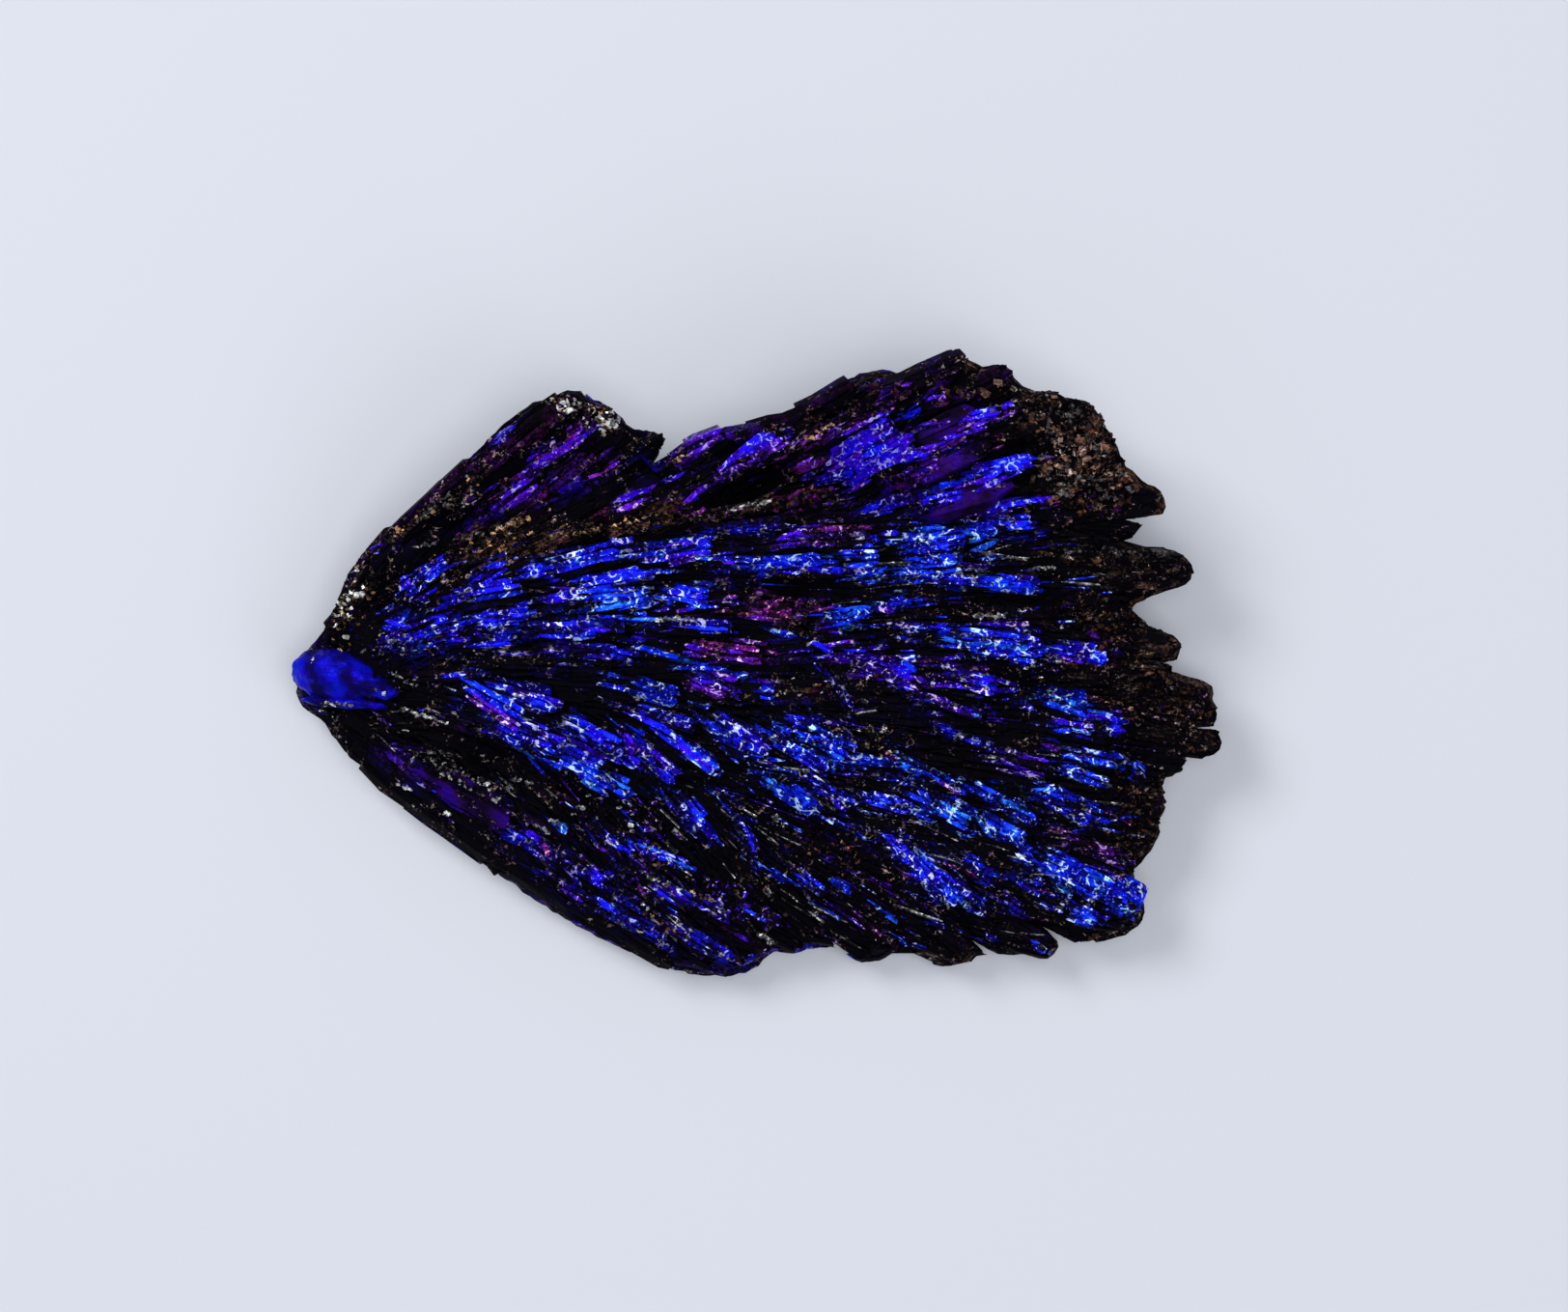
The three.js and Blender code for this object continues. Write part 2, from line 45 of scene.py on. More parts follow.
# Spot heights of the fan in millimetres: x, y, the crown's height and the underside's height
SPOTS = np.array([
    # root and its knob
    [-18.6, -0.2, 3.4, 0.7],
    [-17.0, 3.2, 4.8, 1.6],
    [-15.4, -4.0, 3.8, 0.2],
    [-15.5, 0.5, 5.2, 0.1],
    # short wing on the +Y side
    [-15.2, 5.6, 6.2, 2.6],
    [-12.6, 7.6, 7.6, 4.0],
    [-12.6, 5.4, 5.6, 1.0],
    [-9.0, 10.4, 8.4, 5.0],
    [-9.6, 6.9, 6.0, 1.2],
    [-7.4, 8.8, 7.4, 3.2],
    [-5.4, 10.0, 8.0, 5.2],
    [-4.6, 8.2, 6.4, 3.0],
    # crease between the wings and the middle spray
    [-8.0, 5.4, 6.7, 0.2],
    [-3.4, 6.3, 6.9, -0.2],
    [0.4, 6.5, 6.6, 0.0],
    [-0.6, 7.6, 4.8, 0.8],
    [3.4, 8.0, 5.2, 1.2],
    # long wing on the +Y side
    [-2.2, 9.2, 8.0, 4.4],
    [1.6, 9.8, 8.8, 4.8],
    [4.8, 11.6, 9.2, 6.2],
    [8.4, 12.4, 9.4, 6.8],
    [7.2, 9.2, 8.5, 3.6],
    [11.2, 11.0, 9.0, 6.2],
    [14.2, 9.8, 8.4, 5.8],
    [10.4, 7.6, 7.2, 2.8],
    [15.8, 7.3, 7.0, 4.4],
    # middle spray
    [-11.0, 3.0, 6.8, 0.0],
    [-6.0, 3.4, 7.2, -0.3],
    [-1.4, 4.6, 6.9, -0.3],
    [1.2, 3.5, 5.4, -0.2],
    [3.4, 4.4, 6.5, 0.0],
    [8.0, 4.9, 6.4, 1.0],
    [10.6, 3.8, 6.0, 1.4],
    [10.4, 2.9, 4.8, 0.8],
    [14.4, 4.2, 6.0, 3.0],
    [17.6, 4.2, 5.8, 3.6],
    [-6.0, 0.2, 6.2, -0.3],
    [0.0, 1.0, 5.9, -0.3],
    [5.8, 1.2, 5.5, 0.0],
    [10.4, 1.0, 5.6, 0.6],
    [10.6, -0.6, 4.3, 0.4],
    [14.0, 0.8, 5.3, 2.0],
    [17.2, 0.9, 4.9, 2.8],
    [13.6, -1.4, 4.9, 1.2],
    [16.8, -0.9, 4.0, 2.2],
    [18.9, -1.4, 4.5, 2.4],
    [16.6, -2.5, 3.4, 1.4],
    [19.2, -3.0, 4.2, 2.4],
    # lower spray, which lies on the ground
    [-12.6, -1.4, 5.6, 0.0],
    [-8.6, -2.6, 5.7, -0.2],
    [-4.0, -3.0, 5.4, -0.3],
    [0.2, -3.0, 5.2, -0.3],
    [4.2, -2.6, 5.1, -0.3],
    [8.6, -2.8, 4.8, 0.0],
    [6.0, -4.8, 4.7, -0.2],
    [10.0, -5.4, 4.5, 0.2],
    [14.0, -4.4, 4.6, 0.8],
    [16.8, -5.2, 4.0, 1.6],
    [15.6, -7.2, 3.8, 0.9],
    [-10.2, -4.6, 3.7, 0.0],
    [-6.6, -5.8, 3.5, 0.0],
    [-2.6, -6.0, 4.3, -0.2],
    [-3.0, -7.6, 3.3, 0.0],
    [1.4, -6.8, 3.9, -0.2],
    [7.4, -8.2, 4.3, -0.2],
    [12.8, -8.8, 4.2, 0.2],
    [15.8, -10.2, 3.4, 0.6],
    # long dark side wall and the ragged lower rim
    [-13.4, -5.4, 3.9, 0.0],
    [-9.4, -7.6, 3.6, -0.2],
    [-5.2, -10.2, 3.2, -0.2],
    [-1.4, -12.2, 2.5, 0.0],
    [1.6, -10.6, 2.7, 0.0],
    [4.8, -11.6, 2.5, 0.2],
    [8.4, -11.8, 2.5, 0.2],
    [12.2, -11.4, 2.6, 0.4],
])
# The columns of SPOTS that hold those two heights
CROWN, UNDERSIDE = 2, 3
# How softly one spot's heights pass into the next one's
SPOT_BLUR = 0.2
# How far under the crown the tops of the body's blades and of the solid stone lie, in millimetres
BODY_DEPTH, STONE_DEPTH = 0.35, 0.62
MM_PER_METRE = 1000
# Where the spots' millimetres lie against the frame's middle
SPOT_ORIGIN = np.array([0.03987, 0.1194])
# The fan's outline seen from above, in millimetres, clockwise from the knob
OUTLINE = np.array([
    (-19.5, -0.2), (-19.4, 0.4), (-18.8, 0.9), (-18.2, 1.5), (-17.8, 2.2), (-17.4, 3.2), (-17.1, 3.9),
    (-16.5, 4.8), (-16.0, 5.3), (-15.4, 5.8), (-14.4, 6.6), (-13.4, 7.6), (-12.4, 8.3), (-11.4, 9.3),
    (-10.6, 10.0), (-9.8, 10.6), (-9.2, 11.0), (-8.4, 11.3), (-7.9, 11.6), (-7.2, 11.6), (-6.9, 11.2),
    (-5.8, 10.7), (-5.2, 10.0), (-3.7, 9.7), (-4.4, 8.5), (-3.4, 9.0), (-2.4, 9.6), (-1.4, 9.9),
    (0.6, 10.3), (1.8, 10.8), (2.4, 11.1), (3.0, 11.6), (3.8, 11.9), (4.6, 12.1), (5.4, 12.2),
    (5.8, 11.9), (6.6, 12.3), (7.4, 12.7), (8.3, 12.9), (9.2, 12.4), (10.2, 12.5), (10.7, 11.7),
    (11.4, 11.4), (12.2, 11.5), (12.6, 11.1), (13.2, 11.0), (13.8, 10.8), (14.2, 10.3), (14.5, 9.8),
    (14.7, 9.4), (14.9, 8.8), (15.2, 8.3), (15.8, 7.8), (16.0, 7.7), (16.6, 7.4), (16.8, 6.8),
    (16.6, 6.4), (15.8, 6.1), (15.8, 5.8), (14.8, 5.5), (14.6, 4.9), (16.8, 5.0), (17.6, 4.8),
    (18.0, 4.4), (18.1, 4.0), (17.8, 3.6), (16.8, 3.3), (16.2, 3.1), (15.6, 2.8), (15.4, 2.7),
    (15.8, 2.2), (16.2, 2.0), (16.3, 1.7), (17.4, 1.6), (17.7, 1.2), (17.6, 0.4), (17.0, 0.3),
    (17.2, -0.1), (17.8, -0.3), (18.6, -0.5), (19.0, -0.7), (19.0, -1.1), (19.3, -1.6), (19.3, -2.1),
    (19.1, -2.3), (19.4, -2.6), (19.5, -3.0), (19.4, -3.3), (19.1, -3.6), (18.6, -3.7), (18.0, -3.6),
    (18.0, -4.0), (17.6, -4.2), (17.2, -4.4), (17.0, -4.8), (17.1, -5.1), (17.0, -5.4), (17.2, -5.8),
    (17.0, -6.2), (16.6, -6.4), (16.9, -6.6), (16.6, -7.2), (16.2, -7.8), (15.8, -8.2), (15.8, -8.8),
    (15.9, -9.2), (16.2, -9.8), (16.2, -10.2), (16.0, -10.7), (15.2, -11.1), (14.4, -11.3),
    (13.6, -11.4), (13.0, -11.2), (11.9, -10.7), (12.6, -11.4), (12.7, -11.8), (12.6, -12.0),
    (12.0, -12.1), (11.6, -11.9), (10.4, -11.9), (10.0, -11.8), (9.4, -11.5), (8.8, -11.2),
    (9.2, -11.6), (9.4, -11.9), (9.0, -12.2), (8.2, -12.4), (7.6, -12.4), (7.0, -12.1), (6.2, -11.7),
    (5.6, -11.9), (5.1, -12.2), (4.6, -12.2), (4.2, -12.1), (3.8, -11.8), (3.4, -11.5), (2.8, -11.6),
    (2.0, -11.6), (1.6, -11.9), (0.8, -11.7), (0.4, -12.0), (0.0, -12.4), (-0.6, -12.7), (-1.3, -12.9),
    (-2.0, -12.8), (-3.4, -12.6), (-4.2, -12.3), (-5.4, -11.9), (-6.6, -11.3), (-7.4, -10.9),
    (-8.6, -10.1), (-9.4, -9.6), (-10.4, -8.9), (-11.4, -8.3), (-12.4, -7.5), (-13.4, -6.7),
    (-14.4, -6.0), (-15.4, -5.3), (-16.0, -4.6), (-16.4, -4.1), (-17.0, -3.7), (-17.4, -3.2),
    (-17.8, -2.7), (-18.2, -2.0), (-18.6, -1.8), (-19.2, -1.4), (-19.4, -0.8),
])
# Narrow gaps between blade tips: the inner end of each and the two sides of its mouth
NOTCHES = [
    [11.88, -10.70, 12.90, -11.65, 13.60, -11.60],
    [8.80, -11.22, 9.60, -12.00, 10.30, -12.05],
    [-4.46, 8.44, -3.00, 9.35, -3.50, 10.05],
    [14.90, 6.25, 16.30, 5.95, 17.00, 6.50],
    [3.10, -11.35, 3.40, -12.10, 3.90, -11.95],
    [16.70, 0.32, 17.90, 0.15, 17.80, 0.50],
    [18.00, -2.40, 19.60, -2.50, 19.60, -2.25],
]
# The wedges cut through the whole thickness, between these heights
NOTCH_HEIGHTS = (-1, 12)
# Film colours, by the film's thickness (0 gold to 1 pale cyan, below 0 bare grain), and how much
# of the colour shows, which is its gleam
FILMS = {
    "black": (0.55, 0.0),
    "soot": (0.34, 0.07),
    "plum": (0.38, 0.32),
    "magenta": (0.33, 0.66),
    "purple": (0.42, 0.60),
    "violet": (0.50, 0.80),
    "indigo": (0.59, 0.50),
    "ultramarine": (0.57, 1.10),
    "royal": (0.66, 0.85),
    "blue": (0.70, 1.00),
    "azure": (0.79, 1.05),
    "cyan": (0.90, 1.10),
    "bronze": (0.10, 0.40),
    "umber": (0.07, 0.16),
    "gold": (0.00, 0.60),
    "brown": (-0.18, 0.28),
    "ash": (-0.30, 0.30),
    "earth": (-0.15, 0.90),
    "peat": (-0.14, 0.34),
    "grit": (-0.36, 0.70),
    # White grains that stand for painted glints and highlights
    "spark": (-0.55, 1.00),
    "smooth": (0.67, 1.50),
    "veil": (0.44, 1.30),
}
# A film that gleams more than this is smooth, and the laths beside it get the lesser gleam
SMOOTH_GLEAM, BESIDE_SMOOTH = 1.2, 0.3
# The most that a lath with grain may gleam
LATH_GLEAM = 1.12
# Films that lie as lines of small broken crystals where a streak has them
CRYSTAL_FILMS = ("spark", "grit", "ash", "brown", "gold", "bronze")


def height_at(points, column):
    """The crown's or the underside's height over each point, blended between the spots."""
    points = np.atleast_2d(points)
    gaps = np.hypot(points[:, None, 0] - SPOTS[:, 0], points[:, None, 1] - SPOTS[:, 1])
    weights = 1 / (gaps**4 + SPOT_BLUR)
    return (weights * SPOTS[:, column]).sum(1) / weights.sum(1)


def lengths_along(line):
    """How far along the line each of its points lies."""
    return np.concatenate([[0], np.cumsum(np.hypot(*np.diff(line, axis=0).T))])


def side_by_side(count):
    """The middles of strips that lie side by side, as shares of a width from -0.5 to 0.5."""
    return [(k + 0.5) / count - 0.5 for k in range(count)]


def points_of(mesh, kind=float):
    """The places of a mesh's points, one row each."""
    points = np.empty(len(mesh.vertices) * 3, kind)
    mesh.vertices.foreach_get("co", points)
    return points.reshape(-1, 3)


class Skins:
    """The fan's outermost and lowest surfaces as laid so far, on a grid of square cells, in mm."""

    # The grid's lower left corner, its cells' size and their number each way
    low, cell, shape = np.array([-21.0, -14.5]), 0.1, (420, 290)
    # Marks of a lath lie this close along and across it, so that few cells are missed, and reach
    # this share of its width to each side
    along, across, reach = 0.07, 0.08, 0.42
    # Heights where nothing is laid yet
    no_top, no_under = -1.0, 99.0

    def __init__(self):
        self.top = np.full(self.shape, self.no_top)
        self.under = np.full(self.shape, self.no_under)
        lines = [np.arange(n) * self.cell for n in self.shape]
        self.places = (np.stack(np.meshgrid(*lines, indexing="ij"), 2) + self.low).reshape(-1, 2)
        room = np.full(len(self.places), 99.0)
        inside = np.zeros(len(self.places), bool)
        x, y = self.places.T
        for (x0, y0), (x1, y1) in zip(OUTLINE, np.roll(OUTLINE, -1, 0)):
            run_x, run_y = x1 - x0, y1 - y0
            t = np.clip(((x - x0) * run_x + (y - y0) * run_y) / (run_x**2 + run_y**2), 0, 1)
            room = np.minimum(room, np.hypot(x - x0 - t * run_x, y - y0 - t * run_y))
            if y0 != y1:
                inside ^= ((y0 > y) != (y1 > y)) & (x < x0 + (y - y0) * run_x / run_y)
        self.room = np.where(inside, room, -room).reshape(self.shape)
        self.inwards = np.stack(np.gradient(self.room, self.cell), 2)

    def cells(self, points):
        """The cell that each point lies in, clear of the grid's edge."""
        found = ((points - self.low) / self.cell).astype(int)
        i = np.clip(found[..., 0], 1, self.shape[0] - 2)
        j = np.clip(found[..., 1], 1, self.shape[1] - 2)
        return i, j

    def at(self, grid, points):
        """The value of a grid at each point, blended between its cells."""
        spot = np.clip((points - self.low) / self.cell, 0, np.array(self.shape) - 1.001)
        i, j = spot.astype(int).T
        u, v = (spot - spot.astype(int)).T
        if grid.ndim == 3:
            u, v = u[:, None], v[:, None]
        return (
            grid[i, j] * (1 - u) * (1 - v) + grid[i + 1, j] * u * (1 - v)
            + grid[i, j + 1] * (1 - u) * v + grid[i + 1, j + 1] * u * v
        )

    def keep_in(self, points, margin):
        """Moves the points that lie outside the fan's outline, or too near to it, back inside."""
        points = np.array(points, float)
        for _ in range(3):
            short = np.clip(margin - self.at(self.room, points), 0, 2)
            points = points + self.at(self.inwards, points) * short[:, None]
        return points

    def lay(self, plan, heights, widths, hangs):
        """Marks the outer face of a lath, so that what comes later lies on it."""
        run = lengths_along(plan)
        at = np.linspace(0, run[-1], max(3, int(run[-1] / self.along)))
        x, y, z, w = (np.interp(at, run, v) for v in (plan[:, 0], plan[:, 1], heights, widths))
        side = np.array([plan[0, 1] - plan[-1, 1], plan[-1, 0] - plan[0, 0]])
        side = side / max(np.hypot(*side), 1e-6)
        offsets = np.linspace(-self.reach, self.reach, max(3, int(w.max() / self.across)))
        spots = np.stack([x, y], 1)[:, None] + side * (offsets[:, None] * w[:, None, None])
        z = np.repeat(z[:, None], len(offsets), 1)
        if hangs:
            np.minimum.at(self.under, self.cells(spots), z)
        else:
            np.maximum.at(self.top, self.cells(spots), z)

    def top_at(self, points):
        """The outermost height at each point, as the mean of nine cells."""
        i, j = self.cells(points)
        around = [self.top[i + a, j + b] for a in (-1, 0, 1) for b in (-1, 0, 1)]
        return np.mean(around, 0)


skins = Skins()


class Blade:
    """A deep blade of the fan's body: a bent middle line from its root to its tip, a width and
    the kind of end. A row gives the root, the middle, the tip, the width and the end."""

    # Places along a blade and its width there, as shares of its length and width
    outlines = {
        "round": ([0, 0.6, 0.9, 1], [0.8, 1.1, 0.94, 0.5]),
        "sharp": ([0, 0.6, 1], [0.8, 1.1, 0.16]),
        "broken": ([0, 0.55, 1], [0.8, 1.1, 0.92]),
    }
    # Where the fan's underside is lower than near_ground, one blade in three reaches down to the
    # ground and the others stay clear of it
    near_ground, steps = 0.5, (-2.0, 1.1, 0.6)

    def __init__(self, row, order=0):
        self.root, self.middle, self.tip = (np.array(row[i:i + 2], float) for i in (0, 2, 4))
        self.width, self.end = row[6], row[7]
        self.step = self.steps[order % len(self.steps)]
        self.length = lengths_along(self.curve(np.linspace(0, 1, 12))[0])[-1]

    def curve(self, shares):
        """The middle line at shares of its length, and which way its left side lies there."""
        control = 2 * self.middle - (self.root + self.tip) / 2
        t = np.asarray(shares)[:, None]
        plan = (1 - t) ** 2 * self.root + 2 * t * (1 - t) * control + t**2 * self.tip
        run = 2 * (1 - t) * (control - self.root) + 2 * t * (self.tip - control)
        run /= np.hypot(*run.T)[:, None]
        return plan, np.stack([-run[:, 1], run[:, 0]], 1)

    def broad(self, shares):
        """How broad the blade is at shares of its length, as a share of its width."""
        return np.interp(shares, *self.outlines[self.end])

    def lanes(self, pitch):
        """Where lanes about this far apart lie across the blade, as shares of its width."""
        return side_by_side(max(2, round(self.width / pitch)))

    def lane(self, shares, across):
        """A line along the blade, beside its middle line by a share of the width."""
        plan, side = self.curve(shares)
        return plan + side * (across * self.width * self.broad(shares))[:, None]

    def rounding(self, across):
        """How far before the tip a lath ends at this share of the width, on a round end."""
        return 0.5 * self.width * (2 * across) ** 2 * (self.end == "round")

    def levels(self, points):
        """The heights of the blade's crown and of its underside."""
        under = height_at(points, UNDERSIDE)
        under = np.where(under < self.near_ground, under + self.step, under)
        return height_at(points, CROWN) - BODY_DEPTH, np.maximum(under, 0.0)


def closed_skin(rings, corners):
    """Corner lists of a closed lath: quads between its rings and a cap at each end."""
    vertex, ring, place, sizes = [], [], [], []
    for i in range(rings - 1):
        for k in range(corners):
            n = (k + 1) % corners
            vertex += [i * corners + k, i * corners + n, (i + 1) * corners + n, (i + 1) * corners + k]
            ring += [i, i, i + 1, i + 1]
            place += [k, k + 1, k + 1, k]
            sizes.append(4)
    for i, order in ((0, range(corners - 1, -1, -1)), (rings - 1, range(corners))):
        for k in order:
            vertex.append(i * corners + k)
            ring.append(i)
            place.append(k)
        sizes.append(corners)
    return [np.array(v, np.int32) for v in (vertex, ring, place, sizes)]


class Growth:
    """Laths, grains and lobes of kyanite that are grown together into one closed skin."""

    # The corner lists of laths, by their number of rings
    lath_skins = {}
    # A blade's film is at full strength this share of its width to each side, and then fades
    # over about the blur, in mm
    full_film, blur = 0.4, 0.12
    # Each part starts at its own place on the finish's pattern, at most this far out
    pattern_room = 40
    # How deep the root end of a crown blade lies in the stone
    root_depth = 0.55
    # Shells with less volume than this are crumbs, in cubic millimetres
    crumb = 0.03
    # Weathering: its waves per metre, how far it moves a point sideways and upright, and the
    # height up to which a point keeps its own height, since the fan rests there, in metres
    waves, sideways, upright, resting = 4200, 0.00006, 0.00005, 0.0002

    def __init__(self, name, seed):
        self.name = name
        self.random = np.random.default_rng(seed)
        self.meshes = []

    def film(self, name, share=1.0):
        """A film's thickness and its gleam, or a share of that gleam."""
        value, gleam = FILMS[name]
        return value, gleam * share

    def film_at(self, points):
        """The film at each place, from the blades that lie nearest, black away from them."""
        rows = self.film_rows
        start, run = rows[:, 0:2], rows[:, 2:4] - rows[:, 0:2]
        away = np.atleast_2d(points)[:, None] - start
        along = np.clip((away * run).sum(2) / (run**2).sum(1), 0, 1)
        away = away - run * along[..., None]
        gap = np.maximum(np.hypot(away[..., 0], away[..., 1]) - rows[:, 4] * self.full_film, 0)
        weight = 1 / (gap + self.blur) ** 4
        total = weight.sum(1)
        value = (weight * rows[:, 5]).sum(1) / total
        gleam = (weight * rows[:, 6]).sum(1) / (total + 1 / self.spread**4)
        return np.stack([value, gleam], 1)

    def shaded(self, films, jitter, share):
        """Film values with one lath's own difference: a step in thickness and a share of the gleam."""
        films = np.atleast_2d(films)
        return np.stack([films[:, 0] + jitter, np.minimum(films[:, 1] * share, LATH_GLEAM)], 1)

    def mesh(self, points, faces, lath_uv, film_uv, smooth=False):
        """Keeps one closed part for the join. Its points are in mm, and its faces are a list of
        corners and one of how many corners each face has."""
        vertex, sizes = faces
        made = bpy.data.meshes.new(self.name)
        made.vertices.add(len(points))
        placed = (points - np.append(SPOT_ORIGIN, 0)) / MM_PER_METRE
        made.vertices.foreach_set("co", placed.astype(np.float32).ravel())
        made.loops.add(len(vertex))
        made.loops.foreach_set("vertex_index", vertex)
        made.polygons.add(len(sizes))
        made.polygons.foreach_set("loop_start", np.concatenate([[0], np.cumsum(sizes)[:-1]]))
        made.polygons.foreach_set("loop_total", sizes)
        for name, values in (("lath", lath_uv), ("film", film_uv)):
            values = np.broadcast_to(values, (len(vertex), 2))
            made.uv_layers.new(name=name)
            made.uv_layers[name].data.foreach_set("uv", values.astype(np.float32).ravel())
        made.update(calc_edges=True)
        made.polygons.foreach_set("use_smooth", np.full(len(sizes), smooth))
        self.meshes.append(made)

    def lath(self, plan, heights, widths, depths, film, roll=0.0, lean=0.0, shear=0.0, hangs=False):
        """One lath: plan and heights follow the middle of its outer face."""
        rings = len(plan)
        run = np.gradient(plan, axis=0)
        run /= np.hypot(*run.T)[:, None]
        flat = np.stack([-run[:, 1], run[:, 0], np.zeros(rings)], 1)
        plan = skins.keep_in(plan, 0.5 * widths - self.random.uniform(-0.04, 0.08))
        up = np.array([0, 0, -1.0 if hangs else 1.0])
        across = flat * math.cos(roll) + up * math.sin(roll)
        down = flat * math.sin(roll) - up * math.cos(roll)
        shoulder = 0.30
        section = [(-0.5, 1), (0.5, 1), (shoulder + lean, 0), (-shoulder + lean, 0)]
        if hangs:
            section = section[::-1]
        a, b = np.array(section).T
        middle = np.column_stack([plan, heights])
        points = (
            middle[:, None]
            + across[:, None] * (a[None, :, None] * widths[:, None, None])
            + down[:, None] * (b[None, :, None] * depths[:, None, None])
        )
        points[-1, :, :2] += run[-1] * (shear * widths[-1] * a[:, None] - 0.25 * widths[-1] * b[:, None])
        points[..., 2] = np.maximum(points[..., 2], 0.004 + 0.02 * self.random.random())
        if rings not in self.lath_skins:
            self.lath_skins[rings] = closed_skin(rings, 4)
        vertex, ring, place, sizes = self.lath_skins[rings]
        offset = self.random.random(2) * self.pattern_room
        round_it = np.array([0, 1.0, 2.2, 2.2 + 2 * shoulder, 3.4 + 2 * shoulder]) * widths.mean()
        lath_uv = np.stack([lengths_along(plan)[ring] + offset[0], round_it[place] + offset[1]], 1)
        film_uv = np.broadcast_to(np.atleast_2d(film), (rings, 2))[ring]
        self.mesh(points.reshape(-1, 3), (vertex, sizes), lath_uv, film_uv)
        skins.lay(plan, heights, widths, hangs)

    def strip(self, plan, heights, width, depth, film, hangs=False, round_end=False, wobble=0.02):
        """A lath with the small unevenness of a grown one."""
        rings = len(plan)
        chance = self.random
        widths = width * (1 + 0.12 * chance.standard_normal(rings))
        heights = heights + wobble * chance.standard_normal(rings)
        depths = np.full(rings, depth)
        widths[0] *= 0.6
        fall = -1 if hangs else 1
        if rings > 3:
            # The last ring but one moves up to the end, which then closes over a short way
            near = min(0.9, 0.8 * width / max(np.hypot(*(plan[-1] - plan[-2])), 1e-3))
            plan = plan.copy()
            plan[-2] = plan[-1] * (1 - near) + plan[-2] * near
            heights[-2] = heights[-1] * (1 - near) + heights[-2] * near
        if round_end:
            widths[-1] *= 0.4
            heights[-1] -= fall * 0.35 * width
            depths[-1] *= 0.5
        else:
            widths[-1] *= chance.uniform(0.25, 0.8)
            heights[-1] -= fall * chance.uniform(0.0, 0.5) * width
        self.lath(
            plan, heights, np.maximum(widths, 0.06), depths, film,
            roll=0.28 * chance.standard_normal(), lean=chance.uniform(-0.16, 0.16),
            shear=chance.uniform(-0.7, 0.7), hangs=hangs,
        )

    def grain(self, point, size, film):
        """A small broken crystal: a block with uneven corners, turned at random."""
        chance = self.random
        corners = np.array([[x, y, z] for x in (-1, 1) for y in (-1, 1) for z in (-1, 1)], float)
        corners *= chance.uniform(0.5, 1.0, (8, 3)) * np.array([1.5, 0.9, 0.75]) * size / 2
        turn = np.linalg.qr(chance.standard_normal((3, 3)) + 1.6 * np.eye(3))[0]
        if np.linalg.det(turn) < 0:
            turn[2] *= -1
        points = corners @ turn + point
        points[:, 2] = np.maximum(points[:, 2], 0.01)
        quads = [(0, 1, 3, 2), (4, 6, 7, 5), (0, 4, 5, 1), (2, 3, 7, 6), (0, 2, 6, 4), (1, 5, 7, 3)]
        vertex = np.array(quads, np.int32).ravel()
        offset = chance.random(2) * self.pattern_room
        lath_uv = points[vertex][:, :2] - point[:2] + offset
        self.mesh(points, (vertex, np.full(len(quads), 4, np.int32)), lath_uv, film)

    def grains(self, places, reach, count, sizes, films, rise=0.0):
        """Grains scattered along a line of places, on the surface as laid so far. They miss the
        line by about reach, and stand up from the surface by the share rise of their size."""
        chance = self.random
        places = np.array(places, float)
        for _ in range(count):
            k = chance.integers(0, max(1, len(places) - 1))
            t = chance.random()
            spot = places[k] * (1 - t) + places[min(k + 1, len(places) - 1)] * t
            spot = spot + reach * chance.standard_normal(2) * 0.6
            height = skins.top_at(spot[None])[0]
            size = sizes[0] + (sizes[1] - sizes[0]) * chance.random() ** 2
            if height < 0.5 or skins.at(skins.room, spot[None])[0] < 0.4 * size:
                continue
            name = films[chance.integers(0, len(films))]
            self.grain(np.append(spot, height + rise * size), size, self.film(name, chance.uniform(0.5, 1.1)))

    def bundle(self, row):
        """A blade of the crown as strands side by side, with a ragged, round or sharp end, or a
        smooth panel. A row gives its two ends, its width, its lift off the crown at the tip, the
        kind of end and the film."""
        x0, y0, x1, y1, width, lift, end, film = row
        chance = self.random
        start, tip = np.array([x0, y0]), np.array([x1, y1])
        length = np.hypot(*(tip - start))
        run = (tip - start) / length
        side = np.array([-run[1], run[0]])
        ends = [height_at(start, CROWN)[0] - self.root_depth, height_at(tip, CROWN)[0] + lift]

        def top(t):
            points = start + (tip - start) * t[:, None]
            follows = height_at(points, CROWN) + lift * t - self.root_depth * (1 - t)
            return np.maximum(follows, np.interp(t, [0, 1], ends))

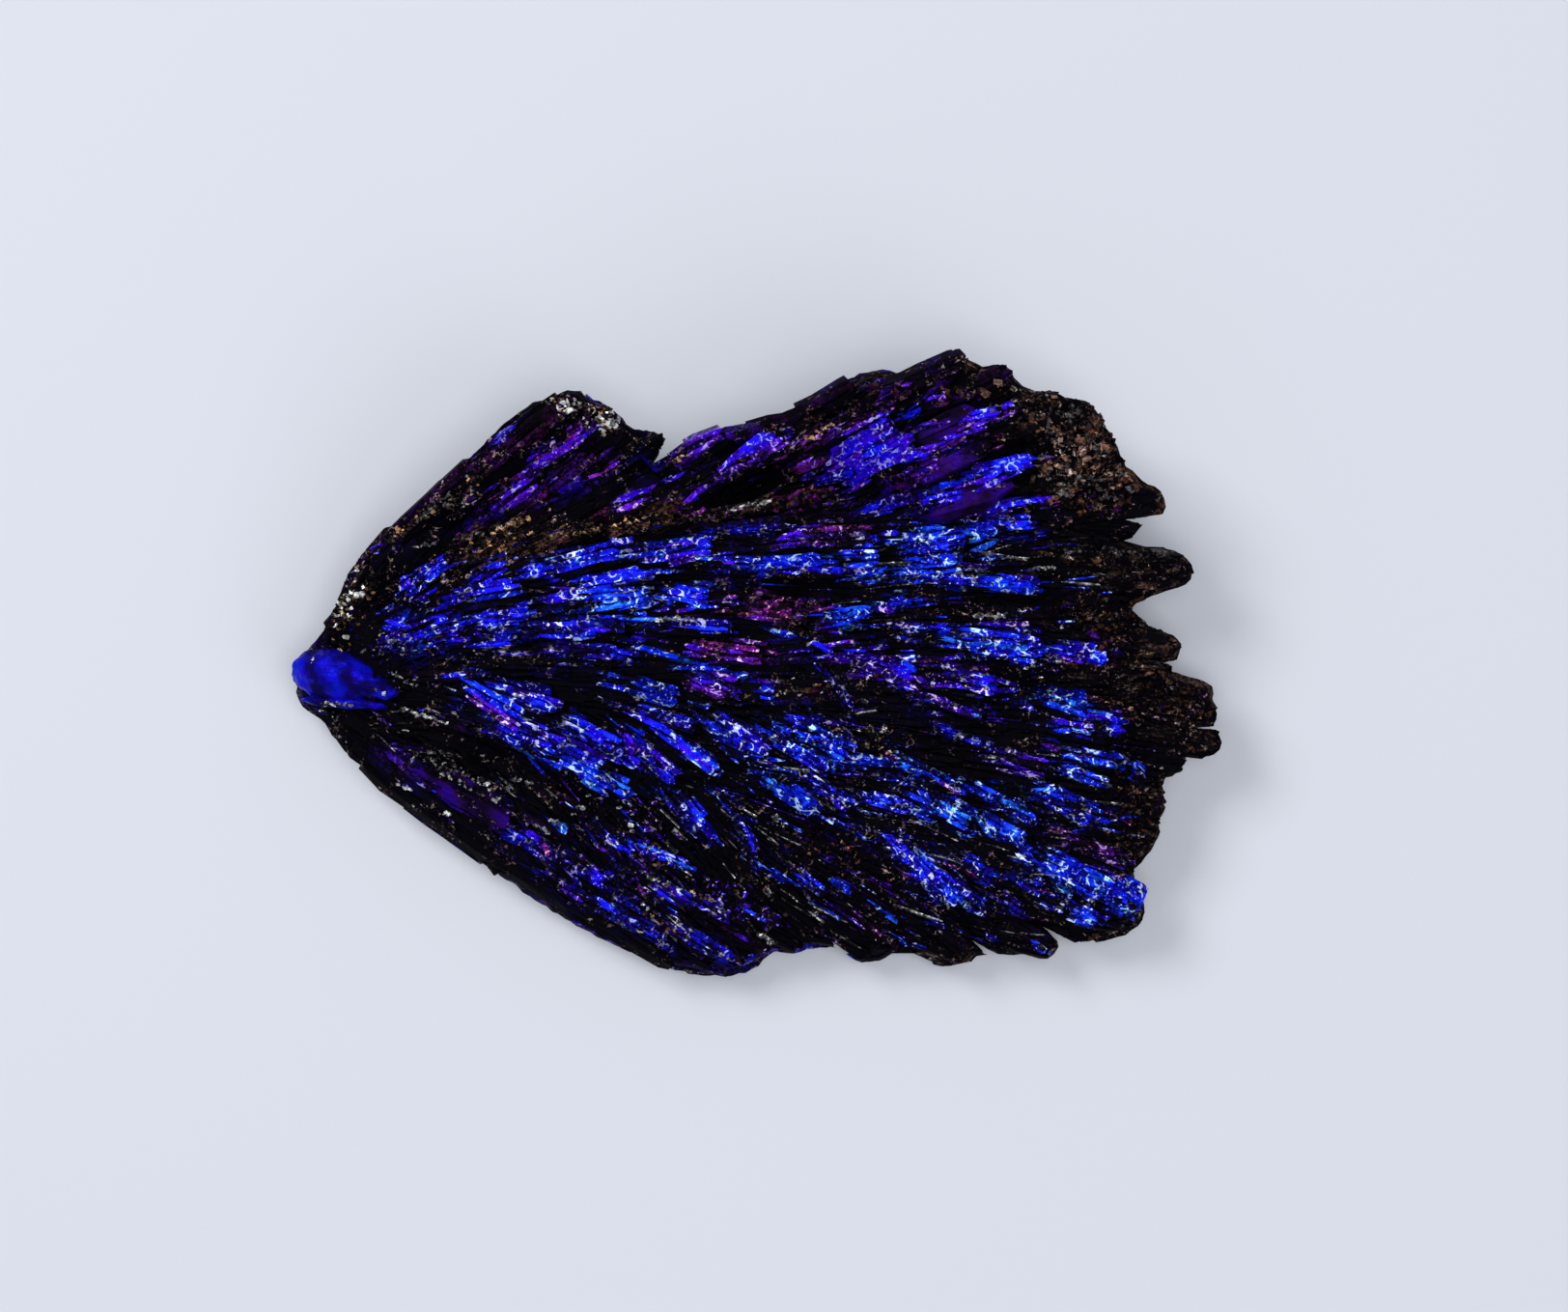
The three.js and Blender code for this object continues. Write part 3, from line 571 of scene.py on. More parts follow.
        thickness = math.sqrt(width)
        t = np.linspace(0, 1 - 0.22 / length, 5)
        self.lath(
            start + (tip - start) * t[:, None], top(t) - 0.16, width * 0.82 * np.array([0.5, 1, 1, 1, 0.85]),
            thickness * np.array([0.6, 1, 1, 1, 0.9]), self.film(film, 0.35),
        )
        panel = end == "panel"
        strands = max(1, round(width / 0.7)) if panel else max(2, round(width / 0.23))
        for k, middle in enumerate(side_by_side(strands)):
            a = middle + chance.uniform(-0.03, 0.03)
            if end == "round":
                cut = 0.5 * width * (1 - math.sqrt(max(0, 1 - (2 * a) ** 2))) + chance.uniform(0, 0.12)
            elif end == "sharp":
                cut = 0.5 * length * abs(a) + chance.uniform(0, 0.1)
            elif panel:
                cut = chance.uniform(0, 0.2)
            else:
                cut = chance.uniform(0, 1) ** 1.5 * 0.9 + 0.05
            breaks = [chance.uniform(0, 0.12), 1 - cut / length]
            if length > 3 and not panel and chance.random() < 0.6:
                breaks.insert(1, chance.uniform(0.35, 0.7))
            value, gleam = self.film(film)
            for u, v in zip(breaks[:-1], breaks[1:]):
                t = np.linspace(max(0, u - 0.04), v, 4 if v - u < 0.5 else 5)
                plan = start + (tip - start) * t[:, None] + side * a * width
                plan = plan + side * 0.02 * chance.standard_normal((len(t), 1))
                heights = top(t) - 0.16 * width * (2 * a) ** 2 + 0.05 * chance.standard_normal()
                gain = np.interp(t, [0, 0.3, 0.75, 1], [0.15, 0.8, 1.15, 0.9])
                jitter = 0.05 * chance.standard_normal()
                own = gleam * (0.38 + 0.80 * chance.random())
                shade = np.stack([np.full(len(t), value + jitter), np.minimum(own * gain, LATH_GLEAM)], 1)
                if panel:
                    shade = (value, gleam)
                # The first strand, on the side away from the key light, is black and lower: a groove with
                # painted shade along the blade's shaded side
                elif k == 0 and strands > 2:
                    shade, heights = self.film("black"), heights - 0.22
                broad = width / strands * chance.uniform(1.0, 1.6)
                self.strip(plan, heights, broad, 0.75 * thickness, shade, round_end=end == "round")

    def mass(self, row, order, rim=True, smooth_from=1.0, coarse=1.0):
        """A deep blade of the body: a core, laths over and under it, and a broken end. From the
        share smooth_from of its length on, long plain laths take the shingles' place."""
        blade = Blade(row, order)
        self.core(blade)
        if smooth_from < 1:
            self.plain_laths(blade, smooth_from)
        self.shingles(blade, smooth_from, coarse)
        self.hanging_laths(blade)
        if rim:
            self.broken_end(blade)

    def core(self, blade):
        """The black stone inside a blade, which gets thinner towards the tip."""
        t = np.linspace(0, 1 - 0.4 / blade.length, 12)
        plan = blade.curve(t)[0]
        crown, under = blade.levels(plan)
        depths = (crown - under - 0.2) * np.interp(t, [0, 0.6, 1], [0.8, 0.72, 0.35])
        self.lath(
            plan, crown - 0.12, blade.width * blade.broad(t) * 0.93, np.maximum(depths, 0.3),
            self.film("black"),
        )

    def plain_laths(self, blade, smooth_from):
        """Long laths side by side that run out to the blade's end."""
        lanes = blade.lanes(0.5)
        for a in lanes:
            stop = blade.length - blade.rounding(a) - self.random.uniform(0, 0.15)
            t = np.linspace(smooth_from * blade.length, stop, 9) / blade.length
            plan = blade.lane(t, a)
            heights = blade.levels(plan)[0] + 0.05 - 0.12 * (2 * a) ** 2
            shade = self.shaded(self.film_at(plan), 0, self.random.uniform(0.4, 1.0))
            broad = blade.width / len(lanes) * 1.25
            self.strip(plan, heights, broad, 0.7, shade, round_end=blade.end == "round")

    def shingles(self, blade, smooth_from, coarse):
        """Rows of short laths over the blade, each one's end lifted over the next one's start."""
        chance = self.random
        lengths, overlap, ragged = (1.6, 3.6), 0.4, 0.6
        for a in blade.lanes(0.32 * coarse):
            at = chance.uniform(0.02, 0.10) * blade.length
            while at < blade.length * smooth_from - 0.6:
                stop = min(at + chance.uniform(*lengths), blade.length - chance.uniform(0, 1) ** 2 * ragged)
                if blade.length - stop < 0.9:
                    stop = blade.length - chance.uniform(0, 1) ** 2 * ragged
                t = np.linspace(max(at - overlap, 0.1), stop, 5) / blade.length
                plan = blade.lane(t, a + chance.uniform(-0.08, 0.08))
                lift = np.linspace(-0.15, chance.uniform(0.0, 0.34) / coarse, 5)
                heights = blade.levels(plan)[0] + lift
                jitter = 0.05 * chance.standard_normal()
                shade = self.shaded(self.film_at(plan), jitter, 1.1 * chance.random() ** 1.8)
                broad = coarse * chance.uniform(0.20, 0.40)
                self.strip(plan, heights, broad, 0.5, shade, round_end=chance.random() < 0.6)
                at = stop

    def hanging_laths(self, blade):
        """Rows of laths under the blade, where it is clear of the ground. The ones far out on the
        +X side, under the broken ends, are brown."""
        chance = self.random
        lengths, overlap = (2.5, 5.0), 0.4
        for a in blade.lanes(0.55):
            at = chance.uniform(0.05, 0.15) * blade.length
            while at < blade.length - 0.8:
                stop = min(at + chance.uniform(*lengths), blade.length - chance.uniform(0.05, 0.7))
                t = np.linspace(max(at - overlap, 0.1), stop, 5) / blade.length
                plan = blade.lane(t, a + chance.uniform(-0.1, 0.1))
                under = blade.levels(plan)[1]
                even = np.linspace(under[0], under[-1], 5)
                heights = 0.3 * under + 0.7 * even + np.linspace(0.15, chance.uniform(-0.12, 0.06), 5)
                if heights.max() > 0.12:
                    shade = (chance.uniform(0.42, 0.66), 0.45 * chance.random() ** 2)
                    if plan[:, 0].mean() > 10:
                        shade = self.film("peat", chance.random())
                    broad = chance.uniform(0.35, 0.6)
                    self.strip(plan, heights, broad, 0.6, shade, hangs=True, round_end=True)
                at = stop

    def broken_end(self, blade):
        """Rows of lath ends, one below the other down the blade's tip."""
        chance = self.random
        crown, under = blade.levels(blade.curve([0.97])[0])
        drop = 0.5
        while drop < crown[0] - under[0] - 0.25:
            for middle in blade.lanes(0.36):
                a = middle + chance.uniform(-0.08, 0.08)
                stop = blade.length - (chance.uniform(0, 1) ** 1.5 * 0.8 + blade.rounding(a))
                t = np.linspace(blade.length - chance.uniform(1.8, 3.2), stop, 3) / blade.length
                plan = blade.lane(t, a)
                heights = blade.levels(plan)[0] - drop + 0.08 * chance.standard_normal()
                shade = self.shaded(self.film_at(plan), -0.1, chance.uniform(0.1, 0.6))
                broad = chance.uniform(0.3, 0.5)
                self.strip(plan, heights, broad, 0.45, shade, round_end=blade.end == "round")
            drop += chance.uniform(0.38, 0.55)

    def streak(self, row):
        """A fine bright blade laid over the others, or a line of small broken crystals where the
        stone is bare. A row gives its two ends, its width, its lift and the film."""
        x0, y0, x1, y1, width, lift, film = row
        chance = self.random
        start, tip = np.array([x0, y0]), np.array([x1, y1])
        length = np.hypot(*(tip - start))
        side = np.array([y0 - y1, x1 - x0]) / length
        if film in CRYSTAL_FILMS:
            count = round(length / 0.10)
            for k in range(count):
                spot = start + (tip - start) * (k + chance.random()) / count
                spot = spot + side * width * chance.uniform(-0.4, 0.4)
                size = chance.uniform(0.08, 0.17)
                height = skins.top_at(spot[None])[0] + 0.4 * size + 0.3 * lift
                self.grain(np.append(spot, height), size, self.film(film, chance.uniform(0.6, 1.2)))
            return
        strands = max(1, round(width / 0.24))
        value, gleam = self.film(film)
        for a in side_by_side(strands):
            first, last = chance.uniform(-0.05, 0.08), 1 - chance.uniform(0, 0.12)
            t = np.linspace(first, last, max(4, int(length / 0.5)))
            plan = start + (tip - start) * t[:, None] + side * a * width
            around = skins.top_at(plan)
            even = np.interp(np.arange(len(t)), [0, len(t) - 1], [around[0], around[-1]])
            heights = np.maximum(around * 0.6 + even * 0.4, around - 0.1) + lift * np.clip(t, 0, 1) - 0.04
            jitter = 0.03 * chance.standard_normal()
            shade = (value + jitter, min(gleam * chance.uniform(0.75, 1.1), LATH_GLEAM))
            self.strip(plan, heights, max(width / strands * 1.15, 0.12), 0.5, shade, wobble=0.03)

    def litter(self, rows, count, lengths=(0.6, 1.9), widths=(0.10, 0.26), films=None):
        """Fine laths strewn along blades of the body, each lying on what is under it. They take
        the film that lies there, unless films are named."""
        chance = self.random
        blades = [Blade(row) for row in rows]
        for _ in range(count):
            blade = blades[chance.integers(0, len(blades))]
            at = chance.uniform(0.04, 0.97)
            span = chance.uniform(*lengths)
            plan, side = blade.curve([at])
            middle = plan[0] + side[0] * chance.uniform(-0.62, 0.62) * blade.width
            turn = math.atan2(-side[0][0], side[0][1]) + 0.12 * chance.standard_normal()
            run = np.array([math.cos(turn), math.sin(turn)])
            plan = middle + run * np.linspace(-0.5, 0.5, 4)[:, None] * span
            around = skins.top_at(plan)
            if around.min() < 1.0 or np.ptp(around) > 1.2:
                continue
            heights = around + np.linspace(-0.10, chance.uniform(0.02, 0.16), 4)
            jitter = 0.07 * chance.standard_normal()
            shade = self.shaded(self.film_at(plan), jitter, 1.4 * chance.random() ** 1.2)
            if films:
                shade = self.film(films[chance.integers(0, len(films))], chance.uniform(0.4, 1.0))
            self.strip(plan, heights, chance.uniform(*widths), 0.35, shade, round_end=chance.random() < 0.4)

    def set_films(self, bundles, streaks, hollows=(), spread=0.30):
        """Says which film lies where: along the bundles and streaks, and black in the hollows as painted
        shade, unless a hollow's row ends in a film's name. A film fades out over the spread."""
        self.spread = spread
        rows = [[*row[:5], *FILMS[row[-1]]] for row in [*bundles, *streaks]]
        rows += [[*row[:5], *FILMS[row[5] if len(row) > 5 else "black"]] for row in hollows]
        self.film_rows = np.array(rows, float)
        self.film_rows[self.film_rows[:, 6] > SMOOTH_GLEAM, 6] = BESIDE_SMOOTH

    def wedges(self):
        """The mesh of the upright gaps between blade tips, with black stone on their sides."""
        points, corner = [], []
        for row in NOTCHES:
            corner += [n + len(points) for n in (2, 1, 0, 3, 4, 5, 0, 1, 4, 3, 1, 2, 5, 4, 2, 0, 3, 5)]
            points += [[x, y, z] for z in NOTCH_HEIGHTS for x, y in zip(row[::2], row[1::2])]
        points, corner = np.array(points, float), np.array(corner, np.int32)
        sizes = np.array([3, 3, 4, 4, 4] * len(NOTCHES), np.int32)
        self.mesh(points, (corner, sizes), points[corner][:, [0, 2]], FILMS["black"])
        return self.meshes.pop()

    def without_crumbs(self, grown):
        """Deletes sealed pockets, whose volume is negative, and loose crumbs."""
        grown.calc_loop_triangles()
        triangles = np.empty(len(grown.loop_triangles) * 3, np.int32)
        grown.loop_triangles.foreach_get("vertices", triangles)
        triangles = triangles.reshape(-1, 3)
        points = points_of(grown)
        shell, settled = np.arange(len(points)), False
        while not settled:
            lowest = shell.copy()
            np.minimum.at(lowest, triangles.ravel(), np.repeat(shell[triangles].min(1), 3))
            lowest = lowest[lowest]
            settled = (lowest == shell).all()
            shell = lowest
        corner = points[triangles] * MM_PER_METRE
        parts = (np.cross(corner[:, 0], corner[:, 1]) * corner[:, 2]).sum(1) / 6
        volume = np.bincount(shell[triangles[:, 0]], parts, len(points))
        stone = bmesh.new()
        stone.from_mesh(grown)
        crumbs = [v for v, size in zip(stone.verts, volume[shell]) if size < self.crumb]
        bmesh.ops.delete(stone, geom=crumbs, context="VERTS")
        stone.to_mesh(grown)
        stone.free()

    def join(self, material):
        """Joins everything into one closed skin, and makes it a piece of the fan."""
        scene = bpy.context.scene
        others = bpy.data.collections.new(self.name + ".parts")
        scene.collection.children.link(others)
        objects = [bpy.data.objects.new(self.name, mesh) for mesh in self.meshes]
        scene.collection.objects.link(objects[0])
        for one in objects[1:]:
            others.objects.link(one)
        union = objects[0].modifiers.new("grown", "BOOLEAN")
        union.operation = "UNION"
        union.operand_type = "COLLECTION"
        union.collection = others
        union.solver = "MANIFOLD"
        gaps = bpy.data.objects.new("gaps", self.wedges())
        notched = objects[0].modifiers.new("notched", "BOOLEAN")
        notched.operation = "DIFFERENCE"
        notched.object = gaps
        notched.solver = "MANIFOLD"
        depsgraph = bpy.context.evaluated_depsgraph_get()
        grown = bpy.data.meshes.new_from_object(objects[0].evaluated_get(depsgraph))
        for one in [*objects, gaps]:
            bpy.data.objects.remove(one)
        for mesh in self.meshes:
            bpy.data.meshes.remove(mesh)
        bpy.data.collections.remove(others)
        self.without_crumbs(grown)
        points = points_of(grown)
        noise.seed_set(1)
        rough = np.array([noise.noise_vector(Vector(p * self.waves)) for p in points])
        free = points[:, 2] > self.resting
        points[:, :2] += rough[:, :2] * self.sideways
        points[:, 2] = np.maximum(points[:, 2] + rough[:, 2] * self.upright * free, 0)
        grown.vertices.foreach_set("co", points.astype(np.float32).ravel())
        grown.name = self.name
        grown.materials.clear()
        grown.materials.append(material)
        piece = bpy.data.objects.new(self.name, grown)
        scene.collection.objects.link(piece)
        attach(piece, "root")
        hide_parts("kyanite_fan")
        return piece


class Thread:
    """One socket of a material. Sums on values are written as sums; node() makes any other node."""

    def __init__(self, tree, socket=None):
        self.tree = tree
        self.socket = socket

    def node(self, kind, settings, inputs, output=0):
        """Makes a node from its settings, or a ramp's stops, and its sockets' values or threads."""
        made = self.tree.nodes.new(kind)
        for name, value in settings.items():
            if name == "stops":
                ramp = made.color_ramp
                while len(ramp.elements) > 1:
                    ramp.elements.remove(ramp.elements[-1])
                ramp.elements[0].position, ramp.elements[0].color = value[0]
                for position, colour in value[1:]:
                    ramp.elements.new(position).color = colour
            else:
                setattr(made, name, value)
        for name, value in inputs.items():
            if isinstance(value, Thread):
                self.tree.links.new(value.socket, made.inputs[name])
            else:
                made.inputs[name].default_value = value
        return Thread(self.tree, made.outputs[output] if made.outputs else None)

    def maths(self, operation, one, other, clamp=False):
        return self.node("ShaderNodeMath", {"operation": operation, "use_clamp": clamp}, {0: one, 1: other})

    def __add__(self, other):
        return self.maths("ADD", self, other)

    def __radd__(self, other):
        return self.maths("ADD", other, self)

    def __sub__(self, other):
        return self.maths("SUBTRACT", self, other)

    def __rsub__(self, other):
        return self.maths("SUBTRACT", other, self)

    def __mul__(self, other):
        return self.maths("MULTIPLY", self, other)

    def __rmul__(self, other):
        return self.maths("MULTIPLY", other, self)


def titanium_film(
    name, curl=0.38, pale=0.92, grit=0.6, gain=1.0, ground=0.10, bare_from=9.0, bare_by=0.0
):
    """The fused titanium film over kyanite: interference colours on a fine curly grain, and black stone with
    pale specks between the blades. The colour is darkened in the hollows as painted shade, and pale painted
    highlights lie on the grain. curl is the grain's size in mm, pale how light the painted highlights are,
    grit how dusty the black stone is, gain and ground how much of the colour shows in all and in the grain's
    dark parts, and bare_by how much the grain darkens over the 7 mm beyond x = bare_from, where the stone
    gets bare."""
    material = bpy.data.materials.new(name)
    material.use_nodes = True
    tree = material.node_tree
    tree.nodes.clear()
    start = Thread(tree)
    lath = start.node("ShaderNodeUVMap", {"uv_map": "lath"}, {})
    film = start.node("ShaderNodeUVMap", {"uv_map": "film"}, {})
    thickness = start.node("ShaderNodeSeparateXYZ", {}, {"Vector": film}, 0)
    gleam = start.node("ShaderNodeSeparateXYZ", {}, {"Vector": film}, 1)
    recess = start.node("ShaderNodeAttribute", {"attribute_name": "recess"}, {}, "Fac")
    place = start.node("ShaderNodeTexCoord", {}, {}, "Object")

    def grown(vector, scale, detail, roughness=0.5, stretch=None):
        if stretch:
            vector = start.node("ShaderNodeMapping", {}, {"Vector": vector, "Scale": stretch})
        settings = {"Vector": vector, "Scale": scale, "Detail": detail, "Roughness": roughness}
        return start.node("ShaderNodeTexNoise", {}, settings, "Fac")

    def between(value, low, high, first=0.0, last=1.0):
        return start.node(
            "ShaderNodeMapRange", {"interpolation_type": "SMOOTHSTEP"},
            {"Value": value, "From Min": low, "From Max": high, "To Min": first, "To Max": last},
        )

    def mixed(share, under, over):
        return start.node("ShaderNodeMix", {"data_type": "RGBA"}, {0: share, 6: under, 7: over}, 2)

    # The grain: striae and clumps along each lath, specks and broad patches over all of them,
    # and curls, which follow the middle of one noise where another one is high
    striae = grown(lath, 1.0, 3.0, 0.6, (1.3, 7.0, 1.0))
    clumps = grown(lath, 1.0, 2.0, 0.6, (1.3, 2.4, 1.0))
    speck = grown(place, 6500.0, 2.0, 0.7)
    patch = grown(place, 900.0, 2.0)
    turns = grown(place, 1000.0 / curl, 0.6)
    other = grown(place, 800.0 / curl, 0.0)

    # The film's own colour. Bare grain, from -0.4, and film, up to 1.0, share one ramp
    sway = (clumps - 0.5) * 0.25 + (patch - 0.5) * 0.40 + (striae - 0.5) * 0.15
    value = thickness + sway * between(thickness, -0.1, 0.35, 0.30, 1.0)
    along_ramp = (value + 0.4) * (1 / 1.4)
    colour = start.node(
        "ShaderNodeValToRGB",
        {"stops": [
            (0.00, (0.80, 0.82, 0.78, 1)),
            (0.04, (0.42, 0.42, 0.44, 1)),
            (0.16, (0.15, 0.090, 0.070, 1)),
            (0.22, (0.24, 0.10, 0.05, 1)),
            (0.29, (0.58, 0.33, 0.15, 1)),
            (0.37, (0.36, 0.12, 0.05, 1)),
            (0.48, (0.32, 0.02, 0.24, 1)),
            (0.57, (0.14, 0.01, 0.46, 1)),
            (0.65, (0.072, 0.004, 0.78, 1)),
            (0.73, (0.018, 0.003, 0.92, 1)),
            (0.81, (0.005, 0.012, 0.98, 1)),
            (0.90, (0.005, 0.034, 0.98, 1)),
            (1.00, (0.02, 0.20, 1.00, 1)),
        ]},
        {"Fac": along_ramp},
    )

    # How much of it shows over the black: less in the hollows, which is painted shade, in the grain's dark
    # parts and where the stone is bare, and evenly on smooth stone
    clear_of_painted_shade = between(recess, 0.03, 0.25, 1.0, 0.01)
    smooth = between(gleam, 1.16, 1.26)
    texture = clumps * 0.45 + speck * 0.55 + striae * 0.12 + patch * 0.30
    east = start.node("ShaderNodeSeparateXYZ", {}, {"Vector": place}, 0)
    bare = (bare_from / MM_PER_METRE, (bare_from + 7.0) / MM_PER_METRE)
    texture = texture - between(east, *bare, 0.0, bare_by)
    texture = texture + between(gleam, 0.25, 0.95, -0.035, 0.050)
    body = between(texture, 0.63, 0.84, between(gleam, 0.35, 0.85, 0.0, ground), 1.30)
    even = between(patch, 0.36, 0.66, 0.04, 0.38) * between(gleam, 1.25, 1.45, 0.28, 1.0)
    body = body * (1 - smooth) * gain + even * smooth
    shown = start.maths("MULTIPLY", gleam * clear_of_painted_shade, body, True)
    skin = mixed(shown, (0.0015, 0.0012, 0.0025, 1), colour)

    # Painted highlights: pale marks on the film's grain, in a lighter tint of its colour
    loops = between(start.maths("ABSOLUTE", turns - 0.5, 0.0), 0.025, 0.065, 1.0, 0.0)
    lines = between(striae, 0.59, 0.69)
    curls = start.maths("MAXIMUM", loops * between(other, 0.52, 0.59), lines * between(clumps, 0.52, 0.62))
    curls = start.maths("MAXIMUM", curls, between(speck, 0.64, 0.69))
    light = start.node(
        "ShaderNodeValToRGB",
        {"stops": [
            (0.00, (0.90, 0.90, 0.85, 1)),
            (0.20, (0.70, 0.58, 0.48, 1)),
            (0.35, (0.95, 0.72, 0.45, 1)),
            (0.48, (0.95, 0.42, 0.75, 1)),
            (0.60, (0.75, 0.46, 1.00, 1)),
            (0.72, (0.70, 0.70, 1.00, 1)),
            (0.82, (0.58, 0.74, 1.00, 1)),
            (0.92, (0.42, 0.80, 1.00, 1)),
        ]},
        {"Fac": along_ramp},
    )
    highlight_reach = between(gleam, 0.15, 0.75) * (1 - smooth) * between(body, 0.0, 0.5, 0.15, 1.3)
    painted_highlight = start.maths("MULTIPLY", curls * clear_of_painted_shade, highlight_reach, True)
    skin = mixed(painted_highlight, skin, mixed(pale, colour, light))

    # Brown, grey and pink dust on the black stone
    dust = start.node(
        "ShaderNodeValToRGB",
        {"stops": [
            (0.30, (0.10, 0.05, 0.16, 1)),
            (0.42, (0.28, 0.13, 0.10, 1)),
            (0.52, (0.45, 0.38, 0.31, 1)),
            (0.62, (0.34, 0.14, 0.20, 1)),
            (0.72, (0.55, 0.55, 0.60, 1)),
        ]},
        {"Fac": grown(place, 1500.0, 1.0)},
    )
    dusty = curls * between(speck, 0.46, 0.58) * between(gleam, 0.10, 0.35, 1.0, 0.0)
    dusty = dusty * between(grown(place, 1100.0, 1.0), 0.50, 0.62)
    dusty = start.maths("MULTIPLY", dusty * clear_of_painted_shade, grit, True)
    skin = mixed(dusty, skin, dust)

    relief = striae * 0.9 + speck * 0.8 + curls * 0.5
    bump = start.node("ShaderNodeBump", {}, {"Strength": 0.7, "Distance": 0.00006, "Height": relief})
    shader = start.node(
        "ShaderNodeBsdfPrincipled", {},
        {
            "Base Color": skin,
            "Metallic": between(shown + painted_highlight, 0.02, 0.30, 0.0, 0.40),
            "Roughness": speck * 0.3 + between(shown + painted_highlight, 0.0, 0.2, 0.44, 0.20),
            "IOR": 1.15,
            "Specular IOR Level": 0.1,
            "Normal": bump,
        },
    )
    start.node("ShaderNodeOutputMaterial", {}, {"Surface": shader})
    return material


ROOT_LOBES = [
    [-13.6, 0.2, 2.0, 3.6, 4.9, 2.5, 0.0, 0.0, "black"],
    [-17.70, -0.18, 3.70, 1.90, 1.12, 1.25, 0.36, -0.14, "smooth"],
    [-16.30, -0.58, 4.65, 1.50, 0.52, 0.55, 0.22, -0.20, "smooth"],
    [-17.00, -1.32, 4.05, 2.00, 0.26, 0.50, 0.24, -0.05, "smooth"],
]
ROOT_BLADES = [
    [-18.0, 1.8, -15.6, 3.8, 0.9, 0.1, "round", "brown"],
    [-15.4, 2.0, -12.8, 4.4, 0.8, 0.35, "round", "royal"],
    [-16.2, 0.6, -12.6, 2.0, 0.9, 0.3, "round", "blue"],
    [-15.6, -0.3, -11.2, -0.1, 0.9, 0.3, "broken", "soot"],
    [-15.2, -1.4, -11.8, -2.4, 0.9, 0.3, "broken", "soot"],
]
ROOT_STREAKS = [
    [-16.0, 4.9, -14.8, 5.2, 0.5, 0.1, "violet"],
    [-15.1, 5.2, -14.5, 5.0, 0.35, 0.15, "magenta"],
    [-15.2, 0.0, -14.0, -0.8, 0.18, 0.1, "grit"],
    [-14.0, -0.8, -12.2, -1.9, 0.2, 0.1, "grit"],
    [-14.8, -1.5, -12.6, -2.2, 0.15, 0.1, "grit"],
    [-12.6, 0.4, -11.2, 0.0, 0.5, 0.15, "royal"],
    [-18.4, -1.35, -16.8, -1.4, 0.12, 0.05, "grit"],
]
root = Growth("root", 11)
root.set_films(ROOT_BLADES, ROOT_STREAKS)


def fullness(room):
    """The share of the stone's full thickness at this distance inside the outline."""
    return np.sqrt(1 - (1 - np.clip(room / 0.9, 0, 1)) ** 2)


# The solid stone under all the blades, as two skins over the outline with rounded edges. Its
# faces span three grid cells each way, it fills those that reach least_room inside the outline,
# and it is nowhere thinner than twice thinnest.
stride = 3
least_room = 0.06
thinnest = 0.06
room = skins.room[::stride, ::stride]
nodes = skins.places.reshape(*skins.shape, 2)[::stride, ::stride]
halves = (slice(None, -1), slice(1, None))
inner = np.maximum.reduce([room[a, b] for a in halves for b in halves]) > least_room
used = np.zeros(room.shape, bool)
for a in halves:
    for b in halves:
        used[a, b] |= inner
number = np.full(room.shape, -1)
number[used] = np.arange(used.sum())
plan = skins.keep_in(nodes[used], 0.28)
swell = np.array([noise.fractal(Vector((x * 0.9, y * 0.9, 0)), 1.0, 2.0, 4) for x, y in plan])
full = fullness(skins.at(skins.room, plan))
crown = height_at(plan, CROWN) - STONE_DEPTH + 0.10 * swell
under = height_at(plan, UNDERSIDE)
under = np.maximum(np.where(under < 0.5, under + 0.9 + 0.5 * swell, under + 0.2), 0.15)
middle = 0.4 * crown + 0.6 * under
crown = np.maximum(middle + (crown - middle) * full, middle + thinnest)
under = np.minimum(middle + (under - middle) * full, middle - thinnest)
points = np.concatenate([np.column_stack([plan, crown]), np.column_stack([plan, under])])
half = len(plan)
corner = []
for i, j in zip(*np.nonzero(inner)):
    loop = [number[i, j], number[i + 1, j], number[i + 1, j + 1], number[i, j + 1]]
    corner += loop + [n + half for n in loop[::-1]]
    beside = (inner[i, j - 1], inner[i + 1, j], inner[i, j + 1], inner[i - 1, j])
    for k in range(4):
        if not beside[k]:
            n, m = loop[k], loop[(k + 1) % 4]
            corner += [m, n, n + half, m + half]
corner = np.array(corner, np.int32)
# Its grain spreads from the knob: fan_x is where it starts, and a turn counts as at middle_reach
fan_x, middle_reach = -19.0, 14.0
reach = np.hypot(points[:, 0] - fan_x, points[:, 1])
turned = np.arctan2(points[:, 1], points[:, 0] - fan_x)
grain_uv = np.column_stack([reach, turned * middle_reach])[corner]
root.mesh(points, (corner, np.full(len(corner) // 4, 4, np.int32)), grain_uv, FILMS["black"])

# What is laid on the stone lies on its crown
covered = skins.room.ravel() > 0
full = fullness(skins.room.ravel()[covered])
spots = skins.places[covered]
crown, under = height_at(spots, CROWN) - STONE_DEPTH, np.maximum(height_at(spots, UNDERSIDE), 0)
skins.top.reshape(-1)[covered] = (0.4 * crown + 0.6 * under) * (1 - full) + crown * full

